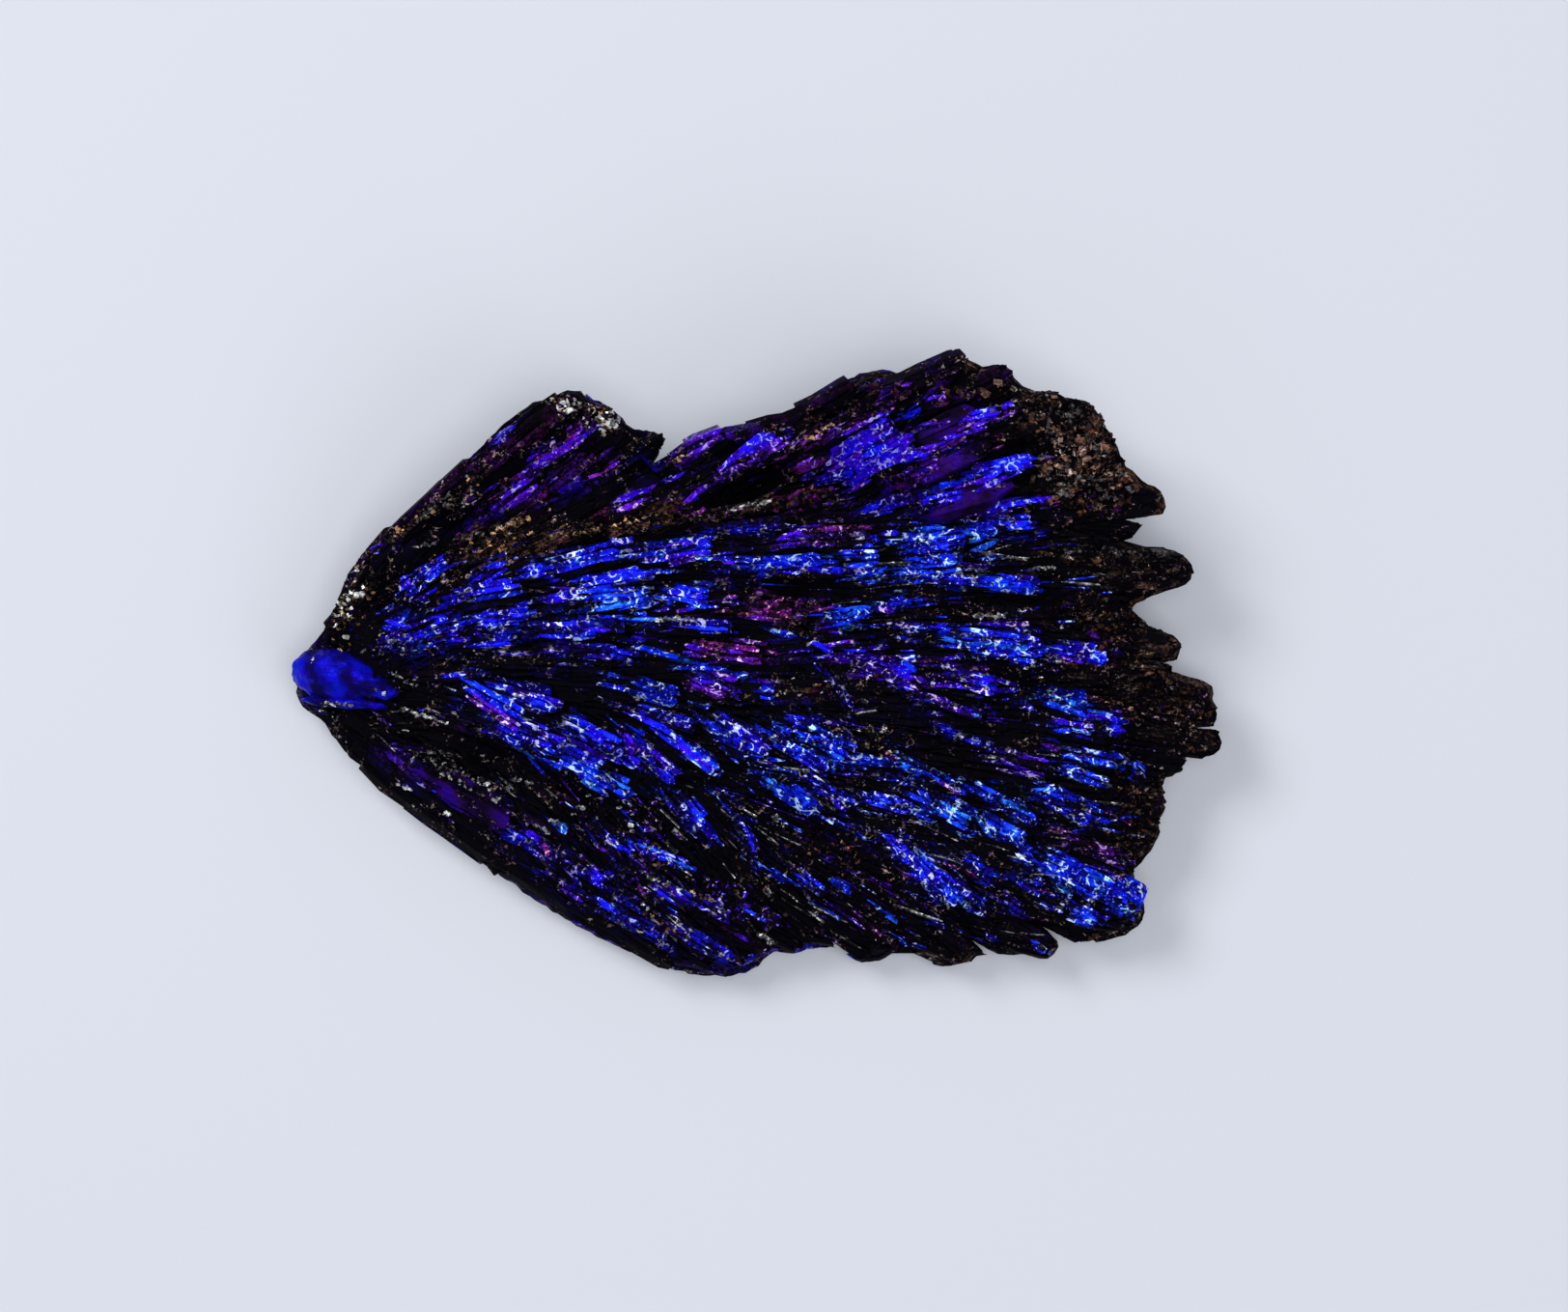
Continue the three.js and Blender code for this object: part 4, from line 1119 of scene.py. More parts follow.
# The knob and the root's other lobes: their place, half sizes, slope, turn and film
for x, y, z, half_x, half_y, half_z, tilt, turn, film in ROOT_LOBES:
    smooth = film == "smooth"
    bpy.ops.mesh.primitive_ico_sphere_add(subdivisions=5, radius=1)
    ball = bpy.context.object
    points = points_of(ball.data)
    bulge = np.array([noise.fractal(Vector(p * 2.2), 1.0, 2.0, 4) for p in points])
    grit = np.array([noise.fractal(Vector(p * 14.0), 0.6, 2.0, 3) for p in points])
    points = points * (1 + 0.05 * bulge + (0.012 if smooth else 0.035) * grit)[:, None]
    points = points * [half_x, half_y, half_z]
    points[:, 2] += points[:, 0] * tilt
    points[:, 1] += points[:, 0] * turn
    points = points + [x, y, z]
    points[:, :2] = skins.keep_in(points[:, :2], 0.02)
    points[:, 2] = np.maximum(points[:, 2], 0.02)
    corner = np.empty(len(ball.data.loops), np.int32)
    ball.data.loops.foreach_get("vertex_index", corner)
    sizes = np.full(len(ball.data.polygons), 3, np.int32)
    root.mesh(points, (corner, sizes), points[corner][:, :2], FILMS[film], smooth)
    bpy.data.objects.remove(ball)
    upper = points[points[:, 2] > z]
    np.maximum.at(skins.top, skins.cells(upper[:, :2]), upper[:, 2])

# Ribs along the fan's sides, one above the other, each as long as a few broken blades
RIB_LEVELS = (-0.66, -0.4, -0.14, 0.12, 0.38, 0.64)
RIB_STEP = 0.3
round_it = np.vstack([OUTLINE, OUTLINE[:1]])
along = lengths_along(round_it)
path = np.arange(0, along[-1], RIB_STEP)
rim = np.stack([np.interp(path, along, round_it[:, 0]), np.interp(path, along, round_it[:, 1])], 1)
crown, under = height_at(rim, CROWN) - BODY_DEPTH, np.maximum(height_at(rim, UNDERSIDE), 0.15)
for _ in range(12):
    crown, under = [(np.roll(v, -2) + v + np.roll(v, 2)) / 3 for v in (crown, under)]
for level in RIB_LEVELS:
    at = 0
    while at < len(path) - 5:
        stop = min(at + root.random.integers(6, 18), len(path))
        pick = slice(at, stop)
        plan = skins.keep_in(rim[pick], 0.15 + 0.5 * level**2 + root.random.uniform(0, 0.05))
        heights = (crown[pick] + under[pick]) / 2 + level * (crown[pick] - under[pick]) / 2 + 0.15
        shade = (root.random.uniform(0.42, 0.66), 0.4 * root.random.random() ** 2)
        if plan[:, 0].mean() > 6:
            shade = root.film(("peat", "black", "umber")[root.random.integers(0, 3)])
        root.strip(plan, heights, root.random.uniform(0.30, 0.42), 0.40, shade, round_end=True)
        at = stop - 2
for row in ROOT_BLADES:
    root.bundle(row)
for row in ROOT_STREAKS:
    root.streak(row)
root.grains(
    [(-18.4, 1.1), (-17.5, 2.2), (-16.8, 3.6), (-16.2, 4.6)], 0.8, 420, (0.12, 0.30),
    ["black", "brown", "soot", "black", "gold"],
)
# White grains here and at the knob's tip stand for painted glints
root.grains(
    [(-17.6, 1.7), (-17.0, 3.0), (-16.6, 4.2)], 0.6, 60, (0.12, 0.26),
    ["spark", "gold", "spark", "gold", "brown"], 0.6,
)
root.grains([(-18.5, 0.4), (-18.2, 0.2)], 0.22, 12, (0.06, 0.12), ["spark", "cyan"], 0.2)
root.grains(
    [(-18.2, -1.8), (-16.8, -3.4), (-15.4, -4.4)], 0.6, 220, (0.10, 0.22),
    ["brown", "soot", "grit", "black"],
)
root.grains(
    [(-16.0, 2.6), (-15.0, 0.6), (-14.0, -1.6)], 0.9, 220, (0.08, 0.2),
    ["grit", "soot", "indigo"],
)
root_piece = root.join(titanium_film("film_on_root"))

# Short wing on the +Y side. It is a stiff, dark sheaf of blades that stands up from the fan,
# with a sharp blade at its broken end. Its film is thin, so it shows indigo and violet.
SHORT_WING_BODY = [
    [-16.8, 2.6, -12.7, 6.7, -7.5, 11.0, 1.7, "broken"],
    [-16.6, 2.0, -12.0, 5.6, -5.6, 10.2, 1.8, "broken"],
    [-16.4, 1.8, -10.6, 5.0, -3.8, 9.6, 1.9, "sharp"],
    [-16.0, 1.4, -10.0, 4.4, -4.6, 7.8, 1.9, "broken"],
    [-16.4, 1.2, -8.6, 5.0, -2.4, 6.4, 1.9, "broken"],
]
SHORT_WING_BLADES = [
    [-15.6, 4.9, -10.8, 9.0, 0.9, 0.35, "broken", "soot"],
    [-12.4, 7.4, -7.4, 11.1, 1.0, 0.4, "broken", "soot"],
    [-13.2, 4.9, -9.4, 7.9, 0.8, 0.3, "broken", "purple"],
    [-10.8, 7.4, -6.4, 10.2, 0.9, 0.3, "broken", "purple"],
    [-10.0, 6.4, -6.4, 8.9, 0.8, 0.3, "broken", "plum"],
    [-8.6, 7.2, -3.75, 9.7, 0.6, 0.3, "sharp", "black"],
    [-11.2, 4.4, -6.4, 5.9, 0.7, 0.35, "broken", "umber"],
    [-7.2, 5.3, -3.2, 6.3, 0.8, 0.45, "broken", "umber"],
]
SHORT_WING_STREAKS = [
    [-15.2, 5.3, -13.8, 6.3, 0.16, 0.1, "brown"],
    [-14.0, 6.1, -12.4, 7.4, 0.12, 0.1, "ash"],
    [-14.2, 5.1, -12.0, 5.5, 0.10, 0.1, "ash"],
    [-12.0, 5.5, -9.6, 6.25, 0.14, 0.1, "ash"],
    [-12.6, 7.3, -11.0, 8.2, 0.16, 0.1, "brown"],
    [-13.0, 5.0, -11.5, 6.0, 0.2, 0.1, "brown"],
    [-12.0, 5.0, -10.8, 5.6, 0.12, 0.1, "brown"],
    [-10.9, 5.7, -9.6, 6.3, 0.12, 0.1, "gold"],
    [-9.3, 8.5, -8.0, 9.3, 0.6, 0.15, "violet"],
    [-8.4, 8.8, -7.0, 9.6, 0.4, 0.15, "violet"],
    [-10.4, 7.0, -9.0, 7.9, 0.6, 0.15, "violet"],
    [-10.7, 9.3, -9.8, 9.9, 0.4, 0.1, "indigo"],
    [-5.9, 6.7, -4.1, 7.4, 0.6, 0.2, "violet"],
    [-10.0, 5.0, -8.0, 5.45, 0.10, 0.15, "brown"],
    [-8.4, 5.4, -6.2, 5.9, 0.12, 0.2, "gold"],
    [-8.0, 5.4, -6.0, 6.0, 0.22, 0.15, "brown"],
    [-6.2, 5.9, -4.5, 6.3, 0.3, 0.15, "gold"],
    [-7.0, 7.9, -5.6, 8.6, 0.25, 0.1, "magenta"],
]
SHORT_WING_HOLLOWS = [
    [-14.4, 5.0, -12.5, 6.3, 0.9],
    [-11.2, 6.0, -9.6, 7.4, 0.7],
    [-17.4, 2.6, -12.0, 8.6, 0.5],
    [-12.0, 8.4, -8.4, 11.0, 0.7],
    [-5.4, 9.6, -3.9, 9.6, 0.5],
    [-5.4, 8.2, -4.2, 8.0, 0.6],
]
short_wing = Growth("short_wing", 12)
short_wing.set_films(SHORT_WING_BLADES, SHORT_WING_STREAKS, SHORT_WING_HOLLOWS)
for order, row in enumerate(SHORT_WING_BODY):
    short_wing.mass(row, order, coarse=1.7)
for row in SHORT_WING_BLADES:
    short_wing.bundle(row)
short_wing.litter(SHORT_WING_BODY, 260)
for row in SHORT_WING_STREAKS:
    short_wing.streak(row)
# The white grains among these stand for painted glints
short_wing.grains(
    [(-8.2, 11.0), (-6.6, 10.6), (-5.6, 10.0)], 0.5, 240, (0.10, 0.30),
    ["gold", "brown", "soot", "grit", "spark", "brown"],
)
short_wing.grains(
    [(-5.2, 6.0), (-3.4, 6.6), (-3.2, 7.1)], 0.35, 90, (0.1, 0.24), ["bronze", "brown", "umber"]
)
short_wing.grains(
    [(-15.2, 5.4), (-11.0, 8.1)], 0.25, 120, (0.08, 0.2), ["brown", "ash", "brown", "gold"]
)
short_wing.grains(
    [(-13.4, 4.2), (-9.5, 6.0)], 0.5, 130, (0.08, 0.2), ["brown", "soot", "brown", "gold"]
)
short_wing_piece = short_wing.join(
    titanium_film("film_on_short_wing", curl=0.36, pale=0.60, grit=0.9, gain=1.9, ground=0.25)
)

# Long wing on the +Y side. It stands highest, folds down into a black hollow beside the crease,
# and ends in broken brown-grey stubs. Plum and violet film covers it, with blue blade ends.
LONG_WING_BODY = [
    [-9.4, 4.6, -3.2, 8.1, 1.7, 9.7, 1.8, "broken"],
    [-7.0, 5.2, -0.2, 8.6, 5.4, 11.4, 1.7, "broken"],
    [-5.0, 5.8, 2.2, 8.7, 8.5, 12.2, 1.8, "broken"],
    [-3.0, 6.0, 4.2, 8.6, 10.4, 11.7, 1.8, "broken"],
    [-1.0, 6.2, 6.0, 8.6, 12.6, 10.8, 1.7, "broken"],
    [0.0, 6.2, 7.4, 8.2, 14.2, 9.9, 1.7, "broken"],
    [1.0, 6.0, 8.0, 7.4, 14.7, 8.7, 1.7, "broken"],
    [2.0, 5.6, 9.0, 6.8, 15.6, 7.7, 1.3, "broken"],
    [4.0, 5.6, 11.0, 6.5, 16.8, 7.0, 1.3, "round"],
    [7.0, 5.2, 12.0, 5.8, 15.9, 5.75, 0.7, "broken"],
]
LONG_WING_BLADES = [
    [-3.8, 6.1, 1.4, 7.0, 0.6, 0.5, "broken", "brown"],
    [-0.4, 6.3, 3.4, 7.6, 0.7, 0.4, "broken", "plum"],
    [-4.2, 7.9, -1.2, 9.8, 0.9, 0.3, "broken", "violet"],
    [-2.6, 7.3, 1.2, 9.5, 0.8, 0.2, "broken", "violet"],
    [-0.8, 9.2, 4.2, 11.7, 0.8, 0.3, "broken", "soot"],
    [1.2, 8.8, 6.4, 11.5, 0.9, 0.45, "broken", "plum"],
    [3.2, 10.4, 8.6, 12.6, 0.9, 0.25, "broken", "soot"],
    [2.2, 8.1, 5.8, 10.1, 1.3, 0.5, "broken", "ultramarine"],
    [3.0, 7.7, 6.6, 9.2, 1.2, 0.4, "broken", "ultramarine"],
    [4.6, 8.4, 8.9, 10.5, 1.7, 0.45, "panel", "veil"],
    [6.6, 10.4, 10.4, 12.1, 0.9, 0.3, "broken", "soot"],
    [7.2, 9.4, 10.6, 10.6, 0.8, 0.35, "broken", "violet"],
    [5.6, 7.2, 9.6, 9.4, 0.9, 0.35, "panel", "veil"],
    [7.2, 7.6, 11.6, 8.6, 0.8, 0.4, "broken", "blue"],
    [6.2, 6.6, 10.4, 7.8, 0.9, 0.35, "panel", "veil"],
    [7.2, 6.4, 11.7, 7.0, 0.6, 0.35, "broken", "indigo"],
    [7.6, 5.9, 11.6, 6.1, 0.6, 0.35, "broken", "royal"],
    [9.8, 10.0, 13.9, 10.6, 0.9, 0.25, "broken", "brown"],
    [10.4, 8.8, 14.7, 9.3, 0.9, 0.25, "broken", "brown"],
    [10.8, 7.4, 15.5, 8.0, 0.9, 0.25, "broken", "brown"],
    [11.6, 10.9, 13.6, 10.6, 1.0, 0.15, "broken", "brown"],
]
LONG_WING_STREAKS = [
    [-3.8, 8.3, -2.4, 9.1, 0.25, 0.15, "gold"],
    [-3.0, 6.8, -1.2, 8.5, 0.3, 0.1, "violet"],
    [-1.4, 8.3, 0.5, 9.8, 0.35, 0.15, "royal"],
    [1.6, 9.2, 3.2, 10.1, 0.25, 0.15, "gold"],
    [3.2, 10.1, 5.2, 11.6, 0.3, 0.1, "brown"],
    [0.5, 8.6, 3.0, 9.8, 0.16, 0.2, "magenta"],
    [3.0, 9.8, 6.5, 11.8, 0.16, 0.2, "violet"],
    [2.8, 8.3, 4.4, 9.1, 0.6, 0.15, "ultramarine"],
    [3.0, 8.9, 5.6, 10.3, 0.9, 0.15, "ultramarine"],
    [4.0, 8.3, 6.2, 9.6, 0.7, 0.15, "ultramarine"],
    [4.2, 8.7, 5.4, 9.3, 0.3, 0.15, "blue"],
    [2.2, 7.9, 4.2, 8.4, 0.35, 0.1, "indigo"],
    [5.8, 10.3, 6.7, 10.8, 0.45, 0.2, "blue"],
    [6.9, 10.9, 7.8, 11.3, 0.4, 0.2, "violet"],
    [8.0, 10.2, 10.0, 10.6, 0.4, 0.25, "royal"],
    [7.3, 9.5, 9.4, 10.0, 0.45, 0.25, "violet"],
    [9.7, 8.3, 11.4, 8.8, 0.5, 0.25, "blue"],
    [9.0, 7.5, 10.2, 8.1, 0.6, 0.2, "royal"],
    [6.2, 8.0, 7.4, 8.5, 0.4, 0.1, "purple"],
    [9.8, 6.7, 11.5, 7.0, 0.3, 0.2, "blue"],
    [10.2, 5.9, 11.4, 6.1, 0.35, 0.2, "azure"],
    [10.5, 5.2, 11.6, 5.5, 0.35, 0.2, "royal"],
    [-1.2, 6.6, 0.6, 7.0, 0.2, 0.1, "grit"],
    [0.8, 6.9, 2.8, 7.7, 0.35, 0.1, "magenta"],
    [-3.4, 6.2, -1.4, 6.2, 0.2, 0.1, "brown"],
    [4.4, 6.6, 6.6, 7.2, 0.5, 0.1, "indigo"],
    [6.6, 6.9, 8.6, 7.3, 0.4, 0.1, "royal"],
]
LONG_WING_HOLLOWS = [
    [-3.0, 6.4, 0.8, 7.8, 0.8],
    [0.8, 7.6, 4.2, 8.0, 0.6],
    [0.4, 9.2, 2.4, 10.1, 0.3],
    [4.6, 6.0, 7.4, 6.5, 0.4],
    [11.8, 5.9, 16.4, 7.0, 1.0],
    [12.0, 10.4, 13.6, 9.0, 1.4, "earth"],
    [8.8, 11.6, 12.0, 10.8, 0.6, "peat"],
    [12.6, 7.6, 15.0, 8.2, 0.6, "earth"],
    [11.6, 5.5, 15.8, 5.7, 0.4],
]
long_wing = Growth("long_wing", 13)
long_wing.set_films(LONG_WING_BLADES, LONG_WING_STREAKS, LONG_WING_HOLLOWS, spread=0.36)
for order, row in enumerate(LONG_WING_BODY, 2):
    long_wing.mass(row, order, smooth_from=0.72 if row[7] == "round" else 1.0, coarse=1.7)
for row in LONG_WING_BLADES:
    long_wing.bundle(row)
long_wing.litter(LONG_WING_BODY, 380)
for row in LONG_WING_STREAKS:
    long_wing.streak(row)
long_wing.grains(
    [(10.6, 11.2), (13.0, 10.2), (13.6, 9.0), (12.4, 8.6), (14.6, 8.2)], 1.3, 860, (0.10, 0.38),
    ["earth", "ash", "brown", "umber", "black", "earth", "black"], 0.2,
)
long_wing.grains(
    [(9.0, 11.6), (6.0, 11.2), (2.0, 10.2)], 0.40, 150, (0.1, 0.26),
    ["umber", "brown", "soot", "black"],
)
long_wing.grains(
    [(12.6, 6.6), (15.6, 7.2)], 0.5, 90, (0.1, 0.3), ["umber", "soot", "brown", "black"]
)
long_wing.grains(
    [(-3.4, 6.2), (0.0, 6.6), (3.0, 7.4)], 0.4, 160, (0.1, 0.24),
    ["brown", "umber", "magenta", "soot"],
)
long_wing_piece = long_wing.join(
    titanium_film("film_on_long_wing", curl=0.36, pale=0.60, gain=1.45, ground=0.2)
)

# Middle spray. Rows of blades overlap like shingles from the root to the fingers on the right.
# The film is thickest here, so the faces are a strong royal blue, with pale cyan painted highlights on their
# grain.
MIDDLE_BODY = [
    [-15.6, 1.3, -9.0, 4.3, 0.0, 5.0, 2.2, "broken"],
    [-4.0, 4.8, 5.0, 5.6, 14.9, 5.2, 1.6, "broken"],
    [3.0, 4.2, 11.0, 4.5, 18.15, 4.15, 1.9, "round"],
    [-15.4, 0.9, -9.0, 2.6, 2.0, 3.0, 2.4, "broken"],
    [-2.4, 3.5, 7.0, 3.4, 15.7, 2.8, 1.9, "broken"],
    [0.0, 2.3, 9.0, 2.4, 16.3, 2.0, 1.3, "broken"],
    [-15.2, 0.6, -9.0, 1.0, 4.0, 1.6, 2.4, "broken"],
    [2.0, 1.2, 9.0, 1.3, 17.75, 0.95, 1.3, "round"],
    [-14.8, -0.1, -8.0, -0.4, 6.0, -0.5, 2.6, "broken"],
    [2.0, 0.2, 11.0, 0.0, 17.4, -0.1, 1.2, "broken"],
    [4.0, -0.2, 12.0, -0.6, 19.25, -1.4, 1.7, "round"],
    [0.0, -0.9, 11.0, -1.7, 19.5, -2.95, 1.6, "round"],
]
MIDDLE_BLADES = [
    [-10.6, 3.6, -5.6, 4.9, 0.9, 0.4, "round", "blue"],
    [-6.6, 4.6, -1.8, 5.1, 1.1, 0.5, "round", "blue"],
    [-9.6, 2.9, -4.0, 4.0, 1.0, 0.45, "broken", "royal"],
    [-8.6, 2.5, -4.1, 3.1, 0.9, 0.55, "broken", "azure"],
    [-5.6, 3.5, -1.9, 2.9, 0.9, 0.2, "round", "blue"],
    [-3.0, 5.7, 1.4, 6.0, 0.7, 0.3, "broken", "indigo"],
    [-0.6, 5.2, 4.9, 5.5, 1.0, 0.35, "broken", "purple"],
    [-1.4, 4.3, 3.6, 4.2, 0.8, 0.5, "round", "blue"],
    [2.2, 4.6, 5.1, 4.7, 1.2, 0.55, "round", "azure"],
    [4.6, 4.8, 8.7, 5.0, 1.6, 0.5, "broken", "azure"],
    [5.6, 6.0, 9.9, 5.7, 0.9, 0.4, "round", "azure"],
    [-5.8, 2.1, -0.8, 1.7, 0.8, 0.4, "broken", "royal"],
    [-10.4, 1.7, -5.2, 1.8, 1.0, 0.45, "broken", "royal"],
    [-13.6, 2.7, -9.4, 3.4, 0.9, 0.35, "broken", "royal"],
    [-13.2, 1.1, -9.6, 1.3, 0.9, 0.35, "broken", "royal"],
    [-12.4, 2.0, -8.8, 2.4, 0.7, 0.25, "broken", "blue"],
    [-9.6, 1.0, -5.1, 0.6, 0.9, 0.4, "broken", "indigo"],
    [-3.4, 1.2, 0.4, 0.6, 1.2, 0.15, "broken", "purple"],
    [-1.2, 2.8, 2.3, 2.2, 1.4, 0.25, "broken", "magenta"],
    [1.8, 2.1, 4.8, 2.4, 0.7, 0.5, "round", "azure"],
    [7.6, 3.8, 11.7, 3.4, 0.7, 0.55, "round", "blue"],
    [6.6, 2.4, 12.4, 2.3, 0.8, 0.3, "broken", "soot"],
    [6.8, 1.3, 11.9, 0.8, 1.6, 0.5, "round", "blue"],
    [7.0, 0.1, 10.1, -0.7, 1.3, 0.6, "round", "violet"],
    [10.8, 1.2, 14.6, 0.6, 0.9, 0.3, "broken", "royal"],
    [3.2, 0.6, 7.0, -0.6, 1.3, 0.25, "broken", "violet"],
    [6.0, -0.8, 9.5, -2.0, 0.6, 0.5, "broken", "violet"],
    [10.6, -0.9, 13.7, -1.7, 0.9, 0.5, "round", "azure"],
    [11.4, -1.9, 15.4, -2.4, 1.0, 0.35, "broken", "royal"],
]
MIDDLE_STREAKS = [
    [-14.8, 3.5, -12.6, 4.6, 0.7, 0.2, "royal"],
    [-11.7, 3.5, -10.2, 4.4, 0.5, 0.2, "royal"],
    [-15.5, 2.0, -13.0, 1.1, 0.6, 0.2, "royal"],
    [-9.9, 3.9, -8.7, 4.3, 0.5, 0.2, "azure"],
    [-8.6, 4.9, -5.0, 5.4, 0.25, 0.15, "blue"],
    [-8.4, 4.3, -3.6, 4.9, 0.25, 0.15, "azure"],
    [-7.6, 3.7, -3.4, 4.1, 0.25, 0.15, "blue"],
    [-8.2, 3.1, -4.6, 3.3, 0.45, 0.15, "azure"],
    [-7.0, 2.15, -3.2, 2.1, 0.16, 0.2, "cyan"],
    [-6.2, 2.7, -4.2, 3.2, 0.5, 0.15, "cyan"],
    [-3.0, 3.0, -2.0, 2.6, 0.25, 0.2, "cyan"],
    [-5.0, 2.0, -3.2, 2.2, 0.16, 0.2, "grit"],
    [-3.0, 1.8, -1.1, 1.7, 0.2, 0.2, "azure"],
    [-5.2, 1.05, -3.0, 0.5, 0.2, 0.2, "cyan"],
    [-3.0, 0.5, -0.8, -0.1, 0.2, 0.2, "azure"],
    [-6.0, 0.8, -5.1, 0.5, 0.4, 0.2, "blue"],
    [-9.0, 1.5, -7.2, 1.5, 0.3, 0.1, "blue"],
    [-2.7, 5.4, -1.9, 5.3, 0.5, 0.2, "royal"],
    [0.2, 4.2, 3.0, 4.4, 0.35, 0.2, "azure"],
    [3.6, 4.1, 5.0, 4.3, 0.5, 0.2, "azure"],
    [3.9, 5.2, 5.1, 5.5, 0.4, 0.15, "blue"],
    [6.2, 4.3, 8.4, 4.5, 0.8, 0.2, "azure"],
    [6.6, 5.2, 8.6, 5.6, 0.7, 0.2, "azure"],
    [8.7, 5.1, 10.0, 5.6, 0.6, 0.2, "cyan"],
    [0.0, 5.3, 2.2, 5.7, 0.3, 0.1, "violet"],
    [-0.2, 2.0, 1.2, 2.9, 0.5, 0.1, "magenta"],
    [3.6, 2.1, 4.6, 2.5, 0.5, 0.2, "cyan"],
    [0.0, 1.9, 1.8, 1.4, 0.3, 0.2, "azure"],
    [1.8, 1.4, 3.2, 0.8, 0.3, 0.2, "blue"],
    [5.5, 3.0, 6.1, 2.9, 0.3, 0.15, "azure"],
    [5.0, 2.6, 5.7, 2.4, 0.3, 0.1, "violet"],
    [9.2, 3.6, 11.5, 3.45, 0.2, 0.15, "azure"],
    [11.2, 4.2, 12.4, 4.3, 0.14, 0.2, "grit"],
    [12.6, 4.95, 16.8, 4.8, 0.16, 0.1, "ash"],
    [13.6, 4.8, 17.2, 4.6, 0.14, 0.1, "brown"],
    [14.0, 3.9, 17.4, 3.8, 0.14, 0.1, "brown"],
    [12.8, 4.5, 15.6, 4.4, 0.2, 0.1, "soot"],
    [16.9, 4.1, 17.6, 4.05, 0.4, 0.1, "bronze"],
    [17.0, 4.2, 17.5, 4.15, 0.3, 0.2, "gold"],
    [9.0, 2.3, 10.6, 2.2, 0.2, 0.15, "grit"],
    [9.0, 2.0, 11.4, 1.9, 0.25, 0.15, "violet"],
    [8.3, 1.75, 11.4, 1.3, 0.2, 0.12, "azure"],
    [7.2, 1.35, 11.5, 0.85, 0.2, 0.14, "cyan"],
    [8.4, 1.0, 11.2, 0.4, 0.2, 0.12, "azure"],
    [7.8, 0.1, 10.0, -0.5, 0.6, 0.1, "blue"],
    [7.8, -0.9, 9.5, -1.2, 0.4, 0.1, "indigo"],
    [7.0, -1.2, 9.4, -1.95, 0.16, 0.15, "cyan"],
    [12.0, -1.1, 13.4, -1.6, 0.6, 0.15, "cyan"],
    [6.0, 0.5, 6.6, 0.0, 0.35, 0.15, "azure"],
    [6.0, -0.6, 7.0, -1.0, 0.3, 0.15, "violet"],
    [13.4, 1.6, 14.3, 1.35, 0.3, 0.15, "magenta"],
    [13.9, 0.8, 14.4, 0.4, 0.4, 0.15, "azure"],
    [14.6, 0.9, 15.3, 0.7, 0.3, 0.1, "indigo"],
    [12.6, 0.6, 13.6, 0.3, 0.2, 0.15, "violet"],
    [17.6, -1.5, 18.8, -1.9, 0.4, 0.1, "bronze"],
    [13.0, 2.5, 13.8, 2.4, 0.3, 0.1, "bronze"],
    [13.0, -2.2, 15.3, -2.5, 0.7, 0.15, "royal"],
    [14.6, -2.3, 15.2, -2.6, 0.5, 0.15, "blue"],
    [-2.8, -0.3, -0.6, -1.0, 0.6, 0.15, "violet"],
    [-3.0, 0.9, -2.0, 0.7, 0.6, 0.1, "violet"],
    [0.0, -0.9, 0.8, -1.0, 0.5, 0.15, "blue"],
    [0.9, -0.4, 2.0, -0.8, 0.35, 0.1, "brown"],
    [2.2, 0.6, 3.0, -0.6, 0.12, 0.08, "royal"],
    [3.0, -0.6, 3.9, -2.0, 0.12, 0.08, "blue"],
    [3.4, -0.4, 4.2, -1.4, 0.2, 0.08, "indigo"],
]
MIDDLE_HOLLOWS = [
    [-1.0, 3.6, 3.4, 3.5, 0.5],
    [8.0, 2.95, 13.0, 2.9, 0.7],
    [12.6, 4.3, 18.2, 4.1, 1.4, "peat"],
    [13.4, 0.2, 17.8, 0.6, 1.8, "peat"],
    [12.6, 2.4, 16.4, 2.0, 1.0, "peat"],
    [14.8, -0.9, 19.2, -1.2, 1.2, "peat"],
    [15.8, -2.4, 19.4, -2.9, 1.2, "peat"],
    [10.4, -0.2, 12.2, -0.3, 0.5],
    [7.0, 3.4, 9.0, 3.3, 0.4],
    [-2.0, 4.0, 0.4, 3.6, 0.3],
    [1.0, -0.2, 6.0, -1.0, 0.6],
    [-12.0, 2.4, -10.0, 2.7, 0.4],
    [-4.0, 1.4, -1.0, 1.2, 0.3],
    [9.8, -1.4, 12.0, -2.2, 0.6],
]
middle_spray = Growth("middle_spray", 14)
middle_spray.set_films(MIDDLE_BLADES, MIDDLE_STREAKS, MIDDLE_HOLLOWS, spread=0.44)
for order, row in enumerate(MIDDLE_BODY):
    middle_spray.mass(row, order, smooth_from=0.72 if row[7] == "round" else 1.0)
for row in MIDDLE_BLADES:
    middle_spray.bundle(row)
middle_spray.litter(MIDDLE_BODY, 760)
middle_spray.litter(
    MIDDLE_BODY[1:6], 90, (1.0, 2.6), (0.06, 0.09), ["azure", "violet", "brown", "grit", "royal"]
)
for row in MIDDLE_STREAKS:
    middle_spray.streak(row)
middle_spray.grains(
    [(12.6, 2.6), (15.0, 2.4), (14.4, 1.4)], 0.9, 220, (0.1, 0.32),
    ["brown", "umber", "soot", "bronze", "black"], 0.1,
)
middle_spray.grains(
    [(15.4, -0.8), (18.6, -1.4), (18.8, -3.0)], 0.7, 150, (0.1, 0.32),
    ["brown", "soot", "umber", "black"], 0.1,
)
middle_spray.grains(
    [(13.0, 4.4), (17.6, 4.2)], 0.5, 110, (0.08, 0.2), ["soot", "brown", "umber", "brown"], 0.1
)
middle_spray.grains(
    [(1.0, -0.5), (4.8, -0.6), (11.0, 0.0), (12.4, 0.0)], 0.7, 180, (0.08, 0.22),
    ["brown", "grit", "bronze", "plum"],
)
